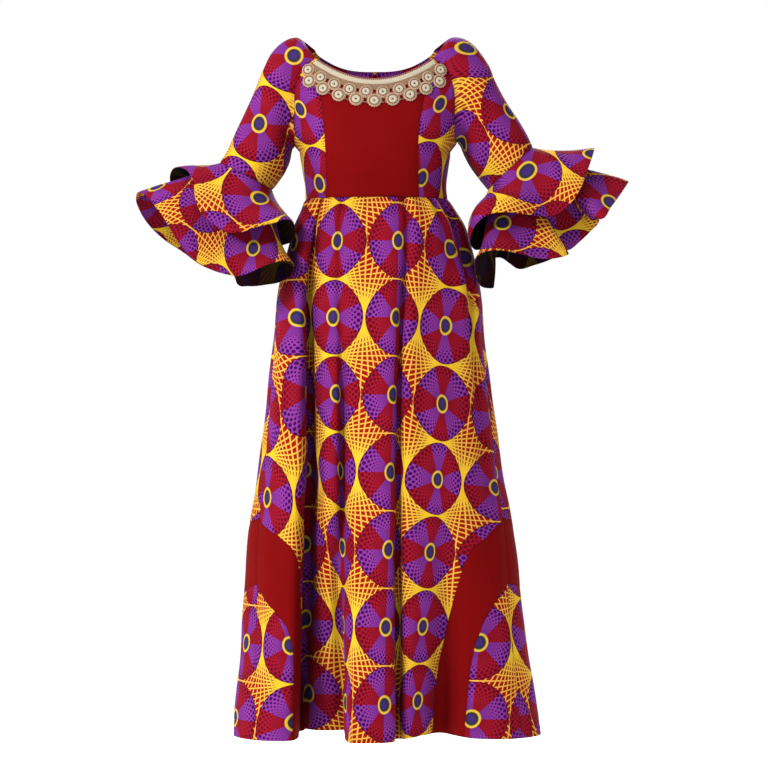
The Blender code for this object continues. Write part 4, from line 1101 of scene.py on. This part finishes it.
def lacePoint(across, depth, lift):  # depth is measured square to the neck edge
    _, rise, half, _ = bodice["neckFront"]
    slope = 2 * rise * across / half ** 2
    tilt = np.sqrt(1 + slope ** 2)
    x, height = across + depth * slope / tilt, neckHeight(across, "neckFront") - depth / tilt
    angle = bodyAngle(x, height)
    under = bodyPoint(angle, height)
    return under + bodyNormal(angle, height) * (softness(under, depth) + np.asarray(lift)[..., None])


def laceSteps(step):  # where a number of rosette steps along the neck edge lies across
    across = np.linspace(-lace["half"], lace["half"], 401)
    along = arcLengths(lacePoint(across, 0 * across, 0.0), 0)
    return np.interp(np.asarray(step) / lace["rosettes"] * along[-1], along, across)


def makeNet():
    rows, columns = lace["rows"], lace["columns"] * lace["rosettes"]
    step = np.repeat(np.linspace(0, lace["rosettes"], columns + 1)[None, :], rows + 1, 0)
    ends = ramp(np.minimum(step, lace["rosettes"] - step), *lace["endRound"])
    depth = np.linspace(0, 1, rows + 1)[:, None] * mixed(lace["endDepth"], lace["depth"], ends)
    start, end, high = lace["band"]
    raised = np.clip((depth - start) * (end - depth) / ((end - start) / 2) ** 2, 0, 1) ** 0.4 * high * mm
    layers = [lacePoint(laceSteps(step), depth * mm, lift)
              for lift in (lace["lift"] + lace["net"] + raised, lace["lift"])]
    middleStep, middleDepth = (step[1:, 1:] + step[1:, :-1]) / 2, (depth[1:, 1:] + depth[:-1, 1:]) / 2
    kept = np.ones((rows, columns), bool)
    pace = 2 * lace["half"] / mm * lace["longer"] / lace["rosettes"]
    for place, top, bottom, half in lace["slits"]:
        away = np.abs((middleStep - place + 0.5) % 1 - 0.5) * pace
        kept &= ~((away < half) & (middleDepth > top) & (middleDepth < bottom))
    index = np.arange(step.size).reshape(step.shape)
    r, c = np.nonzero(kept)
    quads = np.stack([index[r, c], index[r + 1, c], index[r + 1, c + 1], index[r, c + 1]], 1)
    faces = [quads, quads[:, ::-1] + step.size]
    solid = np.pad(kept, 1)  # the edges and the slits are closed between the two sides
    for side, (down, right) in enumerate(((0, -1), (1, 0), (0, 1), (-1, 0))):
        edge = ~solid[r + 1 + down, c + 1 + right]
        start, end = quads[edge, side], quads[edge, (side + 1) % 4]
        faces.append(np.stack([end, start, start + step.size, end + step.size], 1))
    faces = np.concatenate(faces)
    places = np.concatenate([np.stack([step, depth], -1).reshape(-1, 2)] * 2)
    points = np.concatenate(layers).reshape(-1, 3)
    finish = laceFinish("crochetNet", netPattern)
    return makePiece("neckLaceNet", points, faces.tolist(), {"print": places[faces]}, [finish], 60)


def rosette(row, number):  # its points, its faces, and the points' places in shares of its radius
    depth, radius, shift = lace[row]
    shares, heights = np.array(lace["relief"]).T
    turns = np.linspace(0, 2 * math.pi, lace["picots"] * 3, endpoint=False)
    across = float(laceSteps(number + shift))
    spot, *near = (lacePoint(np.array(across + x * mm), (depth + y) * mm, 0.0) for x, y in ((0, 0), (1, 0), (0, 1)))
    wide, tall = (mm / np.linalg.norm(point - spot) for point in near)
    picots = lace["picotDepth"] * (shares[1:, None] > lace["picotsFrom"]) * np.cos(turns * lace["picots"])
    reach = radius * shares[1:, None] * (1 + picots)
    x, y = reach * np.sin(turns), reach * np.cos(turns)

    def at(x, y, high):  # a point x and y millimetres away from the rosette's middle
        return lacePoint(across + x * mm * wide, (depth + y * tall) * mm, lace["lift"] + high).reshape(-1, 3)

    high = lace["net"] + heights * mm
    points = [at(np.zeros(2), np.zeros(2), np.array([high[0], lace["foot"]])), at(x, y, high[1:, None] + 0 * turns),
              at(x[-1], y[-1], lace["foot"] + 0 * turns)]
    n, rings = len(turns), len(reach)
    j = 2 + np.arange(n)  # the corners of the first ring, and the next corner to each
    k = 2 + (np.arange(n) + 1) % n
    faces = [(0 * j, j, k), (0 * j + 1, k + rings * n, j + rings * n)]
    faces += [(j + i * n, j + (i + 1) * n, k + (i + 1) * n, k + i * n) for i in range(rings)]
    flat = np.stack([x, y], -1).reshape(-1, 2) / radius
    return (np.concatenate(points), [face for group in faces for face in np.stack(group, 1).tolist()],
            np.concatenate([np.zeros((2, 2)), flat, flat[-n:]]))


def makeRosettes():
    points, faces, places = [], [], []
    for row, count in (("upper", lace["rosettes"] + 1), ("lower", lace["rosettes"])):
        for number in range(count):
            first = sum(map(len, points))
            own, ownFaces, ownPlaces = rosette(row, number)
            points.append(own)
            places.append(ownPlaces)
            faces += [[first + corner for corner in face] for face in ownFaces]
    layers = {"print": np.concatenate(places)[np.concatenate(faces)]}
    finish = laceFinish("crochetRosette", rosettePattern)
    piece = makePiece("neckLaceRosettes", np.concatenate(points), faces, layers, [finish], 60)
    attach(piece, "root")
    return piece


def netPattern(mix, along, down):  # its colour and height, along in rosette steps, down in millimetres
    def crossing(kind):
        across, tall = laceLook[kind]
        return (along * (math.pi * across)).through("SINE") * (down * (math.pi / tall)).through("SINE")

    mesh = crossing("mesh")
    ground = mix(mesh.over(*laceLook["holes"]), "tan", "brown")
    ground = mix((mesh * -1.0).over(*laceLook["knots"]), ground, "pink")
    start, end, _ = lace["band"]
    rib, edge, soft = laceLook["ribs"]
    ribs = (down * (math.pi / rib)).through("SINE").over(edge, soft)
    band = down.over(start, laceLook["bandSoft"]) * down.under(end, laceLook["bandSoft"])
    ground = mix(band, ground, mix(ribs, "cream", "creamShade"))
    count, wide, depth, size, soft = laceLook["dots"]
    dotAcross, dotDown = (along * count).wrapped() * wide, down - depth
    dots = (dotAcross * dotAcross + dotDown * dotDown).root().under(size, soft)
    ground = mix(down.under(start, laceLook["topSoft"]), ground, "pink")
    return mix(dots, ground, "dot"), crossing("threads")


def rosettePattern(mix, x, y):  # its colour and height, x and y in shares of the radius
    radius = (x * x + y * y).root()
    waves = lambda kind: (x.through("ARCTAN2", y) * laceLook[kind][0]).through("SINE")
    petals = waves("petals")
    core = mix(petals.over(*laceLook["petals"][1:]) * radius.over(*laceLook["petalsFrom"]), "cream", "creamShade")
    core = mix(radius.under(*laceLook["centre"]), core, "centre")
    ring = mix(waves("ring").over(*laceLook["ring"][1:]), "tan", "brown")
    rim = mix(waves("rim").over(*laceLook["rim"][1:]), "pink", "creamShade")
    face = mix(radius.over(*laceLook["ringFrom"]), core, ring)
    return mix(radius.over(*laceLook["rimFrom"]), face, rim), petals


def laceFinish(name, pattern):
    material, tree, shader = newFinish(name, 0.85, 0.1)
    colour, height = pattern(mixer(tree, laceColours, laceLook["strength"]), *placeOnCloth(tree, "print"))
    tree.links.new(colour, shader.inputs["Base Color"])
    addRelief(tree, shader, height, *laceLook["bump"])
    return material


rosettes = makeRosettes()
sewOn(makeNet(), "neck_lace", "crochet_lace", held="stretched", withPieces=[rosettes],
      restsOn=["bodice_front_centreCloth", "bodice_side_leftCloth", "bodice_side_rightCloth"], **declared("neck_lace"))
print("lace made")


# Studio

studio = {
    "floor": -1.75, "room": 7.0, "pale": 0.95,  # the floor's height, width and brightness
    "surround": (1.0, 0.15, 3.0, 0.14),  # brightness up to eye level and overhead, how soon and from where it falls
    "lights": {  # place, size, power
        "key": ((-4.5, -3.6, 2.6), 1.4, 520.0), "fill": ((4.2, -4.4, 0.2), 2.4, 40.0),
        "rear": ((1.0, 5.0, 2.2), 2.4, 400.0),
    },
    "aim": (0.0, 0.0, -0.6),
    "overhead": (1.5, 40),  # strength and softness in degrees
    "camera": (0.0188, -6.0, -0.692), "lens": 140.625,
}


def makeSurround():
    world = bpy.data.worlds.new("surround")
    world.use_nodes = True
    tree = world.node_tree
    middle, rest, fall, start = studio["surround"]
    height = axesOf(tree, newNode(tree, "TexCoord").outputs["Generated"])[2]
    bright = (1.0 - (height - start).through("MULTIPLY", fall, clamp=True)) * (middle - rest) + rest
    tree.links.new(bright.socket, tree.nodes["Background"].inputs[1])
    tree.nodes["Background"].inputs[0].default_value = (1, 1, 1, 1)
    bpy.context.scene.world = world


def makeStudio():
    half, pale = studio["room"] / 2, studio["pale"]
    corners = [(x * half, y * half, studio["floor"]) for x, y in ((-1, -1), (1, -1), (1, 1), (-1, 1))]
    mesh = bpy.data.meshes.new("floor")
    mesh.from_pydata(corners, [], [(0, 1, 2, 3)])
    material, _, shader = newFinish("paleFloor", 0.9, 0.5)
    shader.inputs["Base Color"].default_value = (pale, pale, pale, 1)
    mesh.materials.append(material)
    addToScene("floor", mesh)
    makeSurround()
    for name, (place, size, power) in studio["lights"].items():
        light = bpy.data.lights.new(name, "AREA")
        light.size, light.energy = size, power
        lamp = addToScene(name, light)
        lamp.location = place
        aim = np.array(studio["aim"]) - np.array(place)
        lamp.rotation_euler = (math.acos(-aim[2] / np.linalg.norm(aim)), 0, math.atan2(aim[0], -aim[1]) + math.pi)
    overhead = bpy.data.lights.new("overhead", "SUN")
    overhead.energy, overhead.angle = studio["overhead"][0], math.radians(studio["overhead"][1])
    addToScene("overhead", overhead)
    lens = bpy.data.cameras.new("camera")
    lens.lens, lens.sensor_width = studio["lens"], 36.0
    camera = addToScene("camera", lens)
    camera.location, camera.rotation_euler = studio["camera"], (math.pi / 2, 0, 0)
    bpy.context.scene.camera = camera
    bpy.context.scene.view_settings.view_transform = "Standard"


makeStudio()
print("studio made")
